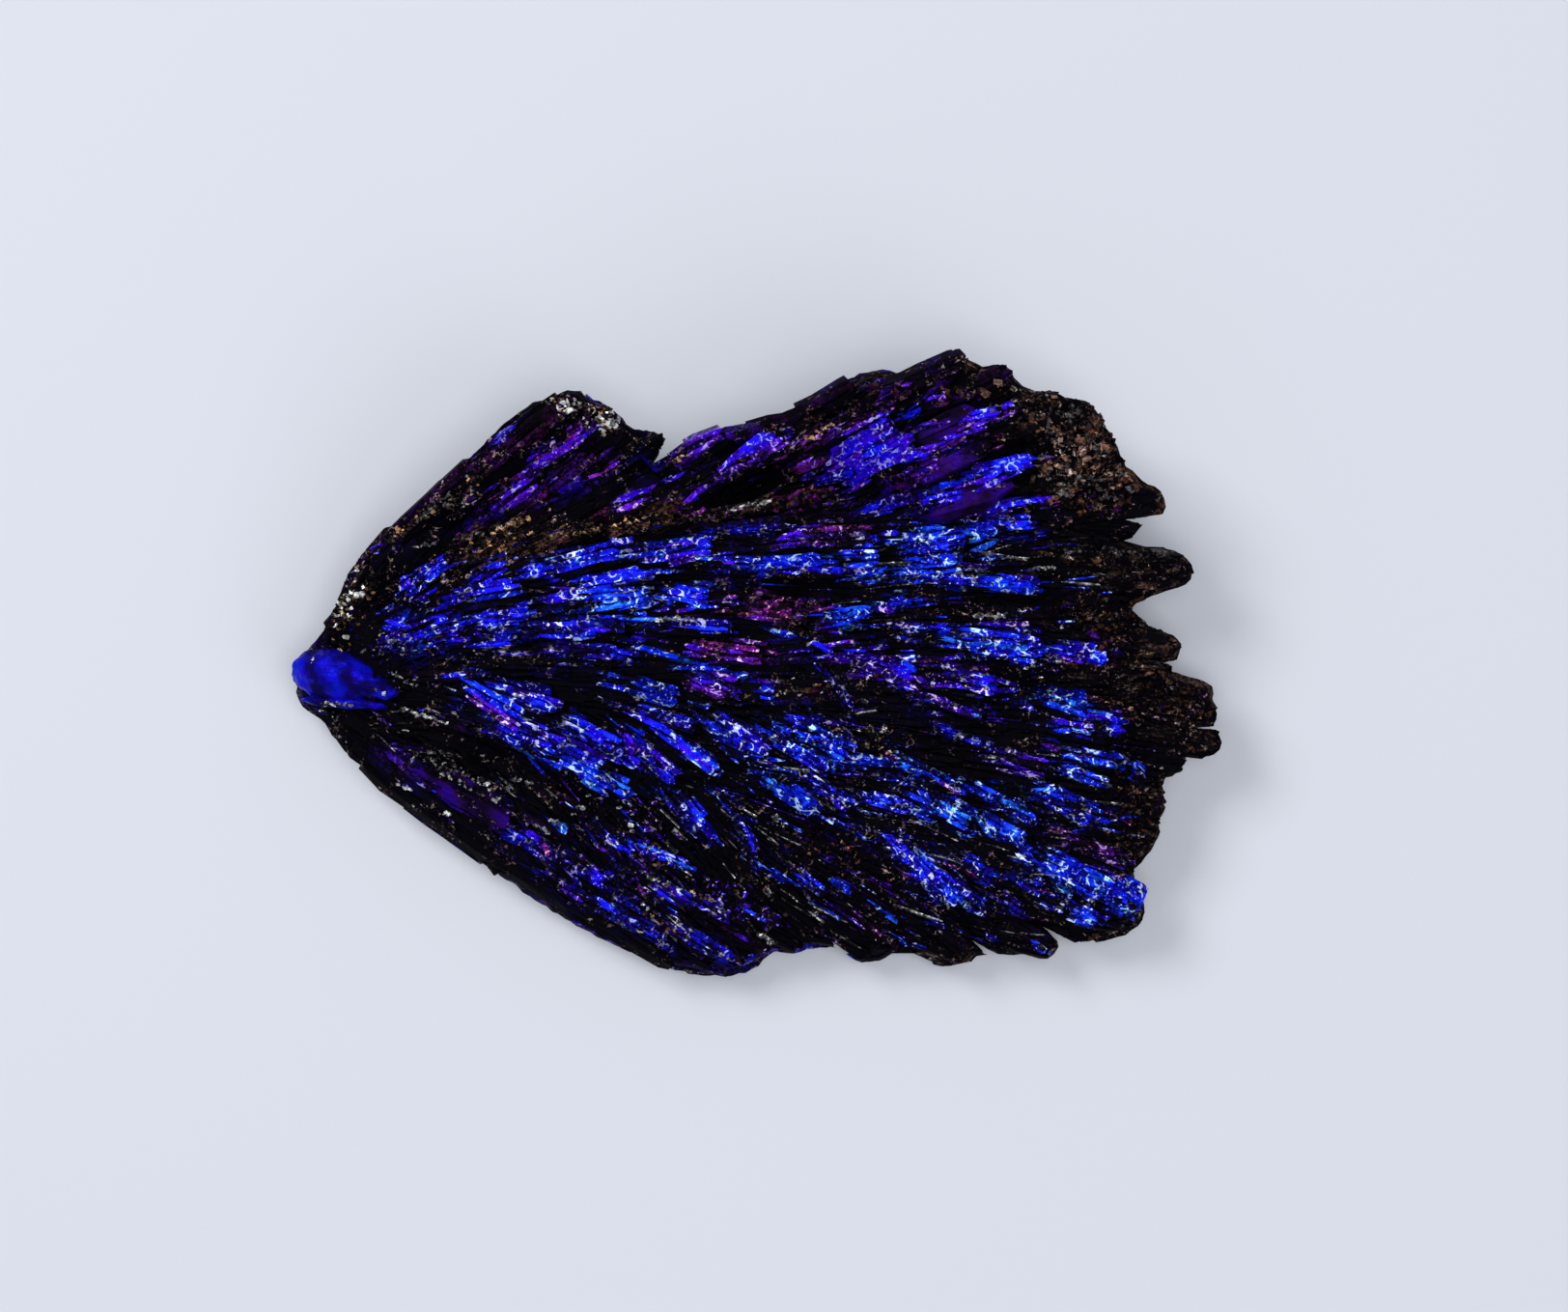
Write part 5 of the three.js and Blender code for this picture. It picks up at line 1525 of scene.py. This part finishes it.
middle_piece = middle_spray.join(
    titanium_film("film_on_middle_spray", grit=0.8, bare_from=0.0, bare_by=0.035)
)

# Lower spray. It fans down to the right and lies on the ground. Its broad bundles are azure to cyan at their
# ends, with thin pale painted highlights along the blades' edges.
LOWER_BODY = [
    [-14.8, -0.9, -8.0, -1.8, 3.0, -3.2, 2.6, "broken"],
    [0.0, -1.8, 9.0, -2.8, 17.9, -3.85, 1.5, "broken"],
    [-1.0, -2.4, 8.0, -4.0, 17.1, -5.0, 1.7, "broken"],
    [-2.0, -2.8, 8.0, -5.0, 17.1, -5.95, 1.2, "broken"],
    [-4.0, -2.6, 8.0, -5.7, 16.7, -7.1, 1.7, "broken"],
    [-4.6, -3.2, 7.0, -6.6, 15.8, -8.5, 1.9, "broken"],
    [-4.6, -4.2, 6.6, -7.3, 16.1, -10.0, 2.1, "broken"],
    [-1.0, -4.8, 6.0, -7.9, 14.6, -10.9, 1.7, "broken"],
    [-2.0, -4.8, 5.0, -8.5, 12.6, -11.7, 1.4, "broken"],
    [-2.0, -5.0, 4.0, -8.8, 10.6, -11.6, 1.4, "broken"],
    [-2.0, -5.0, 3.0, -8.8, 8.9, -12.0, 1.5, "broken"],
    [-3.0, -5.0, 1.6, -9.0, 6.9, -11.6, 1.6, "broken"],
    [-3.4, -5.0, 0.4, -9.0, 4.9, -11.9, 1.6, "broken"],
]
LOWER_BLADES = [
    [5.8, -1.8, 9.5, -3.2, 0.6, 0.45, "broken", "indigo"],
    [-3.6, -1.2, 0.7, -3.5, 1.4, 0.5, "broken", "blue"],
    [-0.6, -1.9, 3.5, -4.1, 1.0, 0.5, "broken", "azure"],
    [0.6, -1.4, 4.4, -3.3, 1.1, 0.5, "broken", "blue"],
    [2.1, 0.8, 4.1, -2.0, 0.4, 0.1, "broken", "indigo"],
    [0.2, -4.1, 2.8, -5.9, 1.0, 0.55, "round", "azure"],
    [1.6, -4.0, 4.0, -5.9, 0.9, 0.4, "broken", "royal"],
    [3.4, -5.0, 6.6, -5.9, 0.8, 0.4, "round", "blue"],
    [-1.8, -4.6, 0.1, -8.0, 0.8, 0.4, "broken", "indigo"],
    [4.6, -3.0, 8.6, -5.1, 0.6, 0.5, "broken", "azure"],
    [4.8, -4.1, 8.9, -6.4, 1.1, 0.5, "broken", "azure"],
    [7.6, -4.1, 11.6, -6.5, 0.8, 0.55, "round", "blue"],
    [7.4, -5.2, 11.2, -7.3, 0.9, 0.35, "round", "azure"],
    [10.4, -4.4, 14.3, -6.2, 1.3, 0.45, "broken", "blue"],
    [9.2, -3.3, 12.6, -4.2, 0.7, 0.3, "broken", "violet"],
    [11.8, -3.1, 15.2, -3.9, 0.7, 0.45, "broken", "azure"],
    [11.6, -3.8, 14.9, -4.9, 0.6, 0.5, "broken", "azure"],
    [4.8, -6.4, 8.9, -9.8, 1.6, 0.5, "broken", "blue"],
    [6.8, -6.6, 10.0, -9.0, 1.1, 0.35, "broken", "indigo"],
    [10.6, -7.2, 14.2, -9.2, 1.5, 0.4, "broken", "azure"],
    [12.0, -7.9, 16.2, -10.2, 1.4, 0.4, "broken", "azure"],
    [11.2, -8.8, 14.2, -10.7, 1.0, 0.3, "broken", "blue"],
    [11.2, -6.4, 15.6, -8.2, 1.0, 0.3, "broken", "purple"],
    [8.6, -8.8, 11.4, -10.4, 0.9, 0.3, "broken", "indigo"],
    [1.0, -7.7, 3.0, -9.5, 0.9, 0.4, "broken", "indigo"],
    [2.6, -8.4, 6.0, -10.8, 0.8, 0.35, "broken", "black"],
    [3.4, -9.6, 6.1, -11.8, 0.7, 0.25, "broken", "soot"],
    [6.0, -9.2, 9.0, -11.8, 1.0, 0.3, "broken", "soot"],
    [9.4, -9.8, 12.5, -11.9, 1.0, 0.3, "broken", "soot"],
]
LOWER_STREAKS = [
    [-2.9, -1.3, -1.9, -1.5, 0.25, 0.2, "cyan"],
    [-2.9, -1.6, -1.0, -2.9, 0.4, 0.2, "azure"],
    [-1.8, -1.7, 0.6, -3.4, 0.6, 0.15, "blue"],
    [-1.7, -3.0, -0.7, -3.9, 0.2, 0.2, "azure"],
    [0.0, -2.3, 3.3, -4.0, 0.35, 0.2, "azure"],
    [0.2, -2.7, 3.0, -4.4, 0.3, 0.15, "blue"],
    [1.2, -1.8, 4.2, -3.2, 0.3, 0.2, "azure"],
    [1.6, -2.3, 4.0, -3.5, 0.3, 0.15, "blue"],
    [4.8, -2.0, 4.4, -2.6, 0.3, 0.1, "gold"],
    [4.5, -2.6, 5.0, -3.1, 0.3, 0.1, "brown"],
    [5.3, -3.3, 5.9, -3.7, 0.25, 0.2, "magenta"],
    [5.9, -3.8, 6.9, -4.3, 0.28, 0.25, "cyan"],
    [7.2, -2.1, 9.4, -3.2, 0.22, 0.2, "royal"],
    [7.3, -4.4, 8.5, -5.1, 0.22, 0.2, "violet"],
    [8.4, -4.6, 10.0, -5.3, 0.25, 0.25, "azure"],
    [10.0, -5.3, 11.3, -5.95, 0.3, 0.25, "cyan"],
    [11.3, -5.9, 11.6, -6.5, 0.3, 0.2, "azure"],
    [5.8, -4.7, 7.2, -5.4, 0.5, 0.2, "azure"],
    [7.2, -5.4, 8.9, -6.3, 0.5, 0.2, "cyan"],
    [8.0, -5.3, 9.2, -6.0, 0.4, 0.2, "azure"],
    [9.2, -6.0, 9.9, -6.9, 0.4, 0.2, "cyan"],
    [11.9, -5.1, 14.2, -6.0, 0.4, 0.15, "blue"],
    [12.4, -5.6, 14.0, -6.4, 0.4, 0.15, "azure"],
    [10.1, -6.5, 11.2, -7.2, 0.5, 0.2, "cyan"],
    [10.7, -7.4, 11.5, -7.9, 0.4, 0.2, "blue"],
    [10.0, -3.6, 11.0, -4.1, 0.2, 0.2, "violet"],
    [11.8, -3.0, 12.6, -3.3, 0.25, 0.2, "violet"],
    [12.6, -3.45, 15.1, -3.95, 0.3, 0.2, "azure"],
    [12.4, -4.0, 14.8, -4.9, 0.3, 0.2, "azure"],
    [15.3, -4.0, 16.1, -4.6, 0.6, 0.15, "azure"],
    [0.1, -4.4, 0.6, -4.8, 0.4, 0.2, "cyan"],
    [0.8, -4.6, 2.6, -5.8, 0.5, 0.2, "azure"],
    [2.0, -4.2, 3.8, -5.6, 0.4, 0.15, "blue"],
    [4.2, -5.2, 6.4, -5.8, 0.4, 0.15, "blue"],
    [-1.4, -5.0, -0.7, -5.9, 0.3, 0.15, "bronze"],
    [-0.8, -6.1, 0.0, -7.8, 0.3, 0.2, "royal"],
    [0.5, -6.0, 1.2, -6.5, 0.25, 0.15, "grit"],
    [3.5, -7.1, 4.2, -7.8, 0.2, 0.15, "bronze"],
    [5.4, -6.8, 7.6, -9.0, 0.5, 0.2, "blue"],
    [6.0, -7.0, 8.6, -9.7, 0.4, 0.2, "azure"],
    [8.2, -9.3, 8.9, -10.0, 0.35, 0.2, "cyan"],
    [8.3, -9.0, 9.7, -9.8, 0.4, 0.15, "blue"],
    [1.6, -8.3, 2.9, -9.4, 0.5, 0.2, "blue"],
    [3.0, -8.8, 3.9, -9.4, 0.35, 0.2, "azure"],
    [4.5, -9.6, 5.9, -10.6, 0.35, 0.2, "cyan"],
    [4.0, -10.0, 6.0, -11.8, 0.16, 0.15, "magenta"],
    [6.2, -9.1, 7.2, -10.0, 0.2, 0.1, "indigo"],
    [7.2, -10.2, 7.8, -10.8, 0.35, 0.15, "royal"],
    [9.0, -7.9, 10.5, -8.7, 0.3, 0.15, "indigo"],
    [10.2, -9.1, 11.0, -9.8, 0.3, 0.15, "violet"],
    [10.9, -8.8, 12.0, -9.5, 0.3, 0.15, "royal"],
    [11.9, -7.8, 13.3, -8.5, 0.6, 0.2, "azure"],
    [13.4, -8.3, 15.0, -9.1, 0.6, 0.2, "azure"],
    [14.6, -9.2, 16.0, -10.3, 0.7, 0.2, "azure"],
    [12.6, -8.6, 14.2, -9.6, 0.5, 0.2, "blue"],
    [13.2, -9.8, 14.2, -10.6, 0.5, 0.2, "azure"],
    [14.0, -8.0, 15.6, -8.9, 0.2, 0.15, "violet"],
    [15.2, -7.8, 15.8, -8.7, 0.16, 0.15, "grit"],
    [11.5, -11.2, 12.4, -11.9, 0.35, 0.2, "blue"],
    [9.6, -11.0, 10.2, -11.4, 0.35, 0.2, "royal"],
    [-1.4, -7.7, -0.9, -8.0, 0.25, 0.15, "grit"],
    [-0.9, -8.2, 0.2, -9.0, 0.18, 0.15, "brown"],
    [0.2, -9.0, 0.9, -9.9, 0.18, 0.15, "grit"],
]
LOWER_HOLLOWS = [
    [-3.0, -5.4, 4.2, -7.8, 0.8],
    [-1.0, -7.2, 5.0, -9.6, 0.9],
    [0.6, -9.4, 4.6, -11.6, 1.4],
    [4.4, -10.6, 7.0, -11.8, 1.0],
    [7.6, -10.2, 10.6, -11.6, 1.0],
    [11.0, -10.2, 12.8, -11.6, 0.8],
    [15.2, -4.8, 16.8, -5.6, 0.8, "earth"],
    [14.8, -6.8, 16.4, -7.6, 0.9, "earth"],
    [9.6, -7.3, 12.4, -8.8, 0.5],
    [3.6, -4.4, 6.4, -5.0, 0.4],
    [4.2, -6.2, 6.0, -7.4, 0.4],
    [9.0, -9.2, 11.4, -10.8, 0.5],
    [6.8, -3.0, 10.6, -4.6, 0.4],
    [12.6, -4.6, 15.2, -5.4, 0.3],
]
lower_spray = Growth("lower_spray", 15)
lower_spray.set_films(LOWER_BLADES, [], LOWER_HOLLOWS, spread=0.20)
for order, row in enumerate(LOWER_BODY):
    lower_spray.mass(row, order)
for row in LOWER_BLADES:
    lower_spray.bundle(row)
lower_spray.litter(LOWER_BODY, 640)
lower_spray.litter(
    LOWER_BODY[1:], 200, (1.0, 2.8), (0.06, 0.09), ["azure", "violet", "brown", "grit", "magenta"]
)
for row in LOWER_STREAKS:
    lower_spray.streak(row)
lower_spray.grains(
    [(15.2, -4.6), (16.6, -5.4), (15.6, -7.4)], 0.8, 320, (0.1, 0.30),
    ["brown", "umber", "soot", "bronze", "black"], 0.1,
)
lower_spray.grains(
    [(1.0, -7.0), (3.6, -7.6), (6.0, -10.6)], 0.8, 220, (0.08, 0.22),
    ["brown", "soot", "plum", "bronze"],
)
lower_spray.grains([(4.6, -2.4), (5.0, -3.2)], 0.4, 70, (0.1, 0.22), ["gold", "brown", "grit"])
lower_piece = lower_spray.join(
    titanium_film("film_on_lower_spray", grit=0.7, ground=0.05, bare_from=-8.0, bare_by=0.050)
)

# Side wall and the blades that lean on it. The wall is one long, smooth and nearly black face with a white
# painted highlight along its top edge. The big blue blades of the lower left lie inside it, over black
# hollows, which are painted shade.
WALL_BODY = [
    [-5.0, -5.0, -1.6, -8.6, 2.2, -11.3, 2.0, "broken"],
    [-8.0, -4.0, -4.2, -8.0, -0.1, -12.0, 2.2, "broken"],
    [-11.0, -3.6, -6.6, -8.2, -1.0, -12.15, 1.9, "broken"],
    [-16.8, -2.9, -11.5, -6.55, -3.0, -11.95, 2.0, "broken"],
    [-17.0, -1.6, -12.2, -4.8, -6.0, -9.6, 2.6, "broken"],
    [-15.8, -1.9, -11.0, -3.0, -5.0, -7.4, 2.8, "broken"],
    [-14.8, -1.3, -10.0, -2.0, -3.0, -5.4, 2.8, "broken"],
]
WALL_BLADES = [
    [-12.8, -0.2, -8.0, -1.6, 1.2, 0.4, "broken", "blue"],
    [-10.0, -1.2, -5.4, -3.6, 1.4, 0.5, "broken", "royal"],
    [-12.4, -1.6, -7.6, -3.3, 1.3, 0.35, "broken", "royal"],
    [-9.4, -2.8, -5.2, -5.0, 1.2, 0.45, "broken", "azure"],
    [-7.4, -0.2, -3.1, -1.1, 0.9, 0.55, "round", "azure"],
    [-7.2, -0.9, -2.4, -2.5, 0.8, 0.3, "broken", "indigo"],
    [-6.2, -1.9, -3.4, -4.7, 0.8, 0.4, "round", "blue"],
    [-5.0, -1.9, -1.3, -4.4, 0.8, 0.35, "broken", "blue"],
    [-3.6, 0.0, -0.6, -1.0, 1.2, 0.3, "broken", "violet"],
    [-3.7, -5.0, -2.3, -6.7, 1.4, 0.5, "round", "royal"],
    [-11.0, -4.2, -7.1, -5.9, 0.7, 0.6, "broken", "soot"],
    [-15.6, -3.4, -10.2, -6.2, 1.5, 0.3, "panel", "veil"],
    [-11.4, -5.6, -7.6, -7.0, 0.7, 0.4, "broken", "soot"],
    [-10.6, -6.3, -6.2, -9.0, 1.2, 0.35, "broken", "indigo"],
    [-7.6, -6.2, -2.4, -8.5, 0.8, 0.55, "broken", "royal"],
    [-6.8, -7.6, -1.2, -10.5, 0.8, 0.5, "broken", "indigo"],
    [-9.0, -8.6, -3.8, -11.4, 1.0, 0.35, "broken", "indigo"],
    [-5.6, -9.6, -1.0, -12.3, 0.9, 0.35, "broken", "indigo"],
    [-1.6, -9.4, 1.1, -10.7, 0.8, 0.35, "broken", "soot"],
    [-2.4, -10.1, 0.6, -11.8, 0.9, 0.3, "broken", "soot"],
]
WALL_STREAKS = [
    [-12.3, -0.4, -9.6, -1.9, 0.6, 0.2, "azure"],
    [-12.0, -0.9, -9.8, -2.4, 0.4, 0.15, "violet"],
    [-9.4, -2.9, -6.4, -4.6, 0.5, 0.15, "azure"],
    [-9.6, -2.3, -6.2, -4.0, 0.4, 0.15, "blue"],
    [-8.0, -2.1, -6.8, -2.7, 0.18, 0.15, "azure"],
    [-8.0, -3.1, -6.3, -3.9, 0.18, 0.15, "azure"],
    [-5.0, -0.3, -3.2, -1.1, 0.5, 0.2, "cyan"],
    [-6.8, -1.0, -3.4, -2.6, 0.35, 0.15, "blue"],
    [-4.2, -1.6, -3.0, -1.9, 0.25, 0.15, "brown"],
    [-3.0, -1.9, -2.4, -2.4, 0.25, 0.15, "bronze"],
    [-4.4, -2.2, -3.0, -3.2, 0.5, 0.2, "blue"],
    [-3.0, -3.2, -1.5, -4.3, 0.5, 0.2, "azure"],
    [-5.8, -2.2, -4.9, -3.4, 0.4, 0.15, "violet"],
    [-4.9, -3.4, -3.5, -4.6, 0.45, 0.2, "azure"],
    # These lines of grit along blade edges, down to the cyan one below, are pale painted highlights
    [-11.6, -3.4, -10.8, -4.0, 0.12, 0.15, "grit"],
    [-10.3, -4.5, -9.4, -4.7, 0.16, 0.2, "grit"],
    [-9.4, -4.7, -8.2, -5.2, 0.16, 0.2, "grit"],
    [-8.2, -5.2, -7.2, -5.8, 0.18, 0.2, "grit"],
    [-9.7, -5.6, -8.3, -6.4, 0.2, 0.2, "grit"],
    [-9.4, -6.3, -8.6, -6.8, 0.16, 0.15, "grit"],
    [-8.6, -6.3, -7.9, -6.8, 0.3, 0.25, "cyan"],
    [-9.7, -6.7, -9.0, -7.1, 0.4, 0.15, "violet"],
    [-8.9, -7.2, -8.7, -7.7, 0.25, 0.15, "magenta"],
    [-6.9, -7.2, -6.3, -7.6, 0.25, 0.2, "magenta"],
    [-7.4, -7.6, -7.1, -8.0, 0.3, 0.15, "violet"],
    [-7.1, -8.2, -6.3, -9.0, 0.6, 0.15, "royal"],
    [-6.0, -6.9, -4.0, -7.6, 0.18, 0.2, "cyan"],
    [-4.0, -7.6, -2.5, -8.4, 0.2, 0.2, "cyan"],
    [-5.0, -7.7, -4.3, -8.1, 0.22, 0.15, "violet"],
    [-5.9, -8.2, -5.5, -8.5, 0.2, 0.2, "grit"],
    [-3.9, -8.9, -2.9, -9.6, 0.2, 0.15, "violet"],
    [-2.9, -9.6, -1.2, -10.6, 0.2, 0.15, "royal"],
    [-5.0, -9.0, -4.7, -9.4, 0.25, 0.15, "magenta"],
    [-4.9, -10.0, -3.3, -11.0, 0.16, 0.15, "bronze"],
    [-4.5, -8.6, -4.0, -8.8, 0.2, 0.15, "grit"],
    [-2.8, -9.2, -1.8, -9.7, 0.2, 0.15, "gold"],
    [-4.0, -10.0, -3.0, -10.8, 0.14, 0.15, "grit"],
    [-3.0, -10.8, -1.2, -12.1, 0.14, 0.15, "grit"],
    [-0.7, -9.9, 0.5, -10.6, 0.22, 0.2, "cyan"],
    [-0.5, -10.7, 0.8, -11.5, 0.16, 0.15, "grit"],
    [-1.0, -11.0, 0.4, -11.8, 0.2, 0.15, "violet"],
    [-2.8, -5.8, -2.2, -6.1, 0.4, 0.2, "azure"],
    [-8.4, -9.0, -7.2, -9.7, 0.16, 0.15, "violet"],
    [-6.9, -9.5, -6.0, -10.1, 0.35, 0.15, "blue"],
    [-4.9, -10.6, -3.8, -11.3, 0.35, 0.15, "azure"],
    [-10.6, -6.6, -9.0, -7.6, 0.5, 0.1, "indigo"],
]
# Dashes of white grains along the wall's top edge, its painted highlight
WALL_EDGE = [
    [-16.3, -4.15, -15.9, -4.35], [-15.7, -4.40, -14.9, -4.80], [-14.8, -4.85, -14.4, -5.00],
    [-14.3, -5.00, -13.7, -5.40], [-13.6, -5.50, -13.1, -5.75], [-13.0, -5.85, -12.5, -6.20],
    [-12.4, -6.30, -12.1, -6.50], [-11.7, -6.80, -11.3, -7.05],
]
WALL_HOLLOWS = [
    [-12.0, -4.3, -9.0, -4.7, 0.6],
    [-10.0, -5.1, -5.5, -6.2, 1.2],
    [-6.4, -5.2, -3.6, -6.4, 0.8],
    [-2.6, -7.0, -1.6, -8.5, 1.0],
    [-17.2, -3.6, -11.0, -8.0, 1.3],
    [-11.0, -8.0, -3.0, -12.6, 1.1],
    [-4.0, -9.0, 0.6, -11.0, 0.5],
    [-12.0, -6.2, -9.6, -7.2, 0.4],
    [-16.0, -2.4, -12.0, -3.0, 0.8],
    [-8.4, -7.0, -5.4, -8.2, 0.4],
    [-13.0, -2.6, -9.6, -4.0, 0.4],
]
# The wall itself, which is plain over nearly all its length, and the blade inside all the others
WALL_FACE, INNERMOST = 3, 6
side_wall = Growth("side_wall", 16)
side_wall.set_films(WALL_BLADES, [], WALL_HOLLOWS, spread=0.22)
for k, row in enumerate(WALL_BODY):
    side_wall.mass(row, k + 1, rim=k != INNERMOST, smooth_from=0.08 if k == WALL_FACE else 1.0)
for row in WALL_BLADES:
    side_wall.bundle(row)
side_wall.litter(WALL_BODY, 480)
side_wall.litter(
    [WALL_BODY[k] for k in (0, 1, 2, 4, 5)], 110, (0.6, 1.6), (0.06, 0.10),
    ["violet", "grit", "azure", "brown"],
)
for row in WALL_STREAKS:
    side_wall.streak(row)
# The white grains along the wall's top edge are a painted highlight
for ends in WALL_EDGE:
    side_wall.streak([*ends, side_wall.random.uniform(0.08, 0.16), 0.14, "spark"])
side_wall.grains(
    [(-13.9, -3.4), (-12.8, -4.2), (-10.4, -5.3)], 0.4, 180, (0.08, 0.22),
    ["grit", "grit", "brown", "soot"],
)
side_wall.grains(
    [(-7.4, -5.8), (-4.0, -6.2), (-4.6, -9.6)], 0.8, 240, (0.08, 0.24),
    ["grit", "brown", "soot", "violet", "black"],
)
side_wall.grains([(-1.8, -9.0), (0.6, -10.8)], 0.8, 120, (0.08, 0.22), ["brown", "soot", "violet"])
side_wall_piece = side_wall.join(titanium_film("film_on_side_wall", bare_from=-14.0, bare_by=0.01))

# How deep each point lies between the blades, in mm, which the film finishes read as "recess" and darken by
# as painted shade. It is the depth under the laid surface with its gaps closed, less on its slopes, near the
# outline and, for points far down, near the underside.
BESIDE = ((1, 0), (-1, 0), (0, 1), (0, -1))
FAR_DOWN = 1.2
outside = skins.top < 0
top = skins.top.copy()
for pick in (np.maximum, np.minimum):
    for _ in range(5):
        wide = top.copy()
        for step in BESIDE:
            wide = pick(wide, np.roll(top, step, (0, 1)))
        top = wide
level = np.where(outside, 0.0, top)
for _ in range(6):
    for axis in (0, 1):
        level = (np.roll(level, 2, axis) + level + np.roll(level, -2, axis)) / 3
slope = np.hypot(*np.gradient(level, skins.cell))
from_edge = np.where(outside, 0.0, 9.0)
for _ in range(9):
    for step in BESIDE:
        from_edge = np.minimum(from_edge, np.roll(from_edge, step, (0, 1)) + skins.cell)
for piece in (root_piece, short_wing_piece, long_wing_piece, middle_piece, lower_piece, side_wall_piece):
    points = points_of(piece.data, np.float32) * MM_PER_METRE + np.append(SPOT_ORIGIN, 0)
    i, j = skins.cells(points[:, :2])
    depth = np.minimum((top[i, j] - points[:, 2]) / (1 + 1.5 * slope[i, j]), from_edge[i, j])
    off_underside = np.abs(points[:, 2] - np.minimum(skins.under[i, j], 50))
    depth = np.where(points[:, 2] < top[i, j] - FAR_DOWN, np.minimum(depth, off_underside), depth)
    recess = piece.data.attributes.new("recess", "FLOAT", "POINT")
    recess.data.foreach_set("value", np.clip(depth, 0, 2).astype(np.float32))

# Floor, lights and camera: a plain pale sheet, a soft key from the upper left and the camera
# straight above the fan.
bpy.ops.mesh.primitive_plane_add(size=3.0, location=(0, 0, 0))
floor = bpy.context.object
floor.name = "floor"
paper = bpy.data.materials.new("pale_floor")
paper.use_nodes = True
paper.node_tree.nodes["Principled BSDF"].inputs["Base Color"].default_value = (0.56, 0.58, 0.63, 1)
paper.node_tree.nodes["Principled BSDF"].inputs["Roughness"].default_value = 0.8
floor.data.materials.append(paper)

world = bpy.data.worlds.new("studio")
bpy.context.scene.world = world
world.use_nodes = True
world.node_tree.nodes["Background"].inputs["Color"].default_value = (0.80, 0.86, 1.0, 1)
world.node_tree.nodes["Background"].inputs["Strength"].default_value = 0.36

# Each lamp's name, place in metres, size in metres and power in watts
for name, place, size, power in (
    ("key", (-0.20, 0.17, 0.30), 0.16, 0.92),
    ("fill", (0.20, -0.16, 0.28), 0.22, 0.24),
    ("top", (0.04, -0.02, 0.42), 0.20, 0.84),
):
    lamp = bpy.data.lights.new(name, "AREA")
    lamp.size = size
    lamp.energy = power
    light = bpy.data.objects.new(name, lamp)
    light.location = place
    light.rotation_euler = (-Vector(place)).to_track_quat("-Z", "Y").to_euler()
    bpy.context.scene.collection.objects.link(light)

# The lens shows a width of 64.96 mm at 175 mm, which is at half the fan's height
SENSOR, SHOWN_WIDTH, SHOWN_AT = 36, 64.96, 175
camera = bpy.data.objects.new("camera", bpy.data.cameras.new("camera"))
camera.data.sensor_width = SENSOR
camera.data.lens = SENSOR * SHOWN_AT / SHOWN_WIDTH
camera.data.clip_start = 0.001
camera.location = (0.00108, 0.00050, 0.180)
bpy.context.scene.collection.objects.link(camera)
bpy.context.scene.camera = camera
bpy.context.scene.view_settings.view_transform = "Standard"
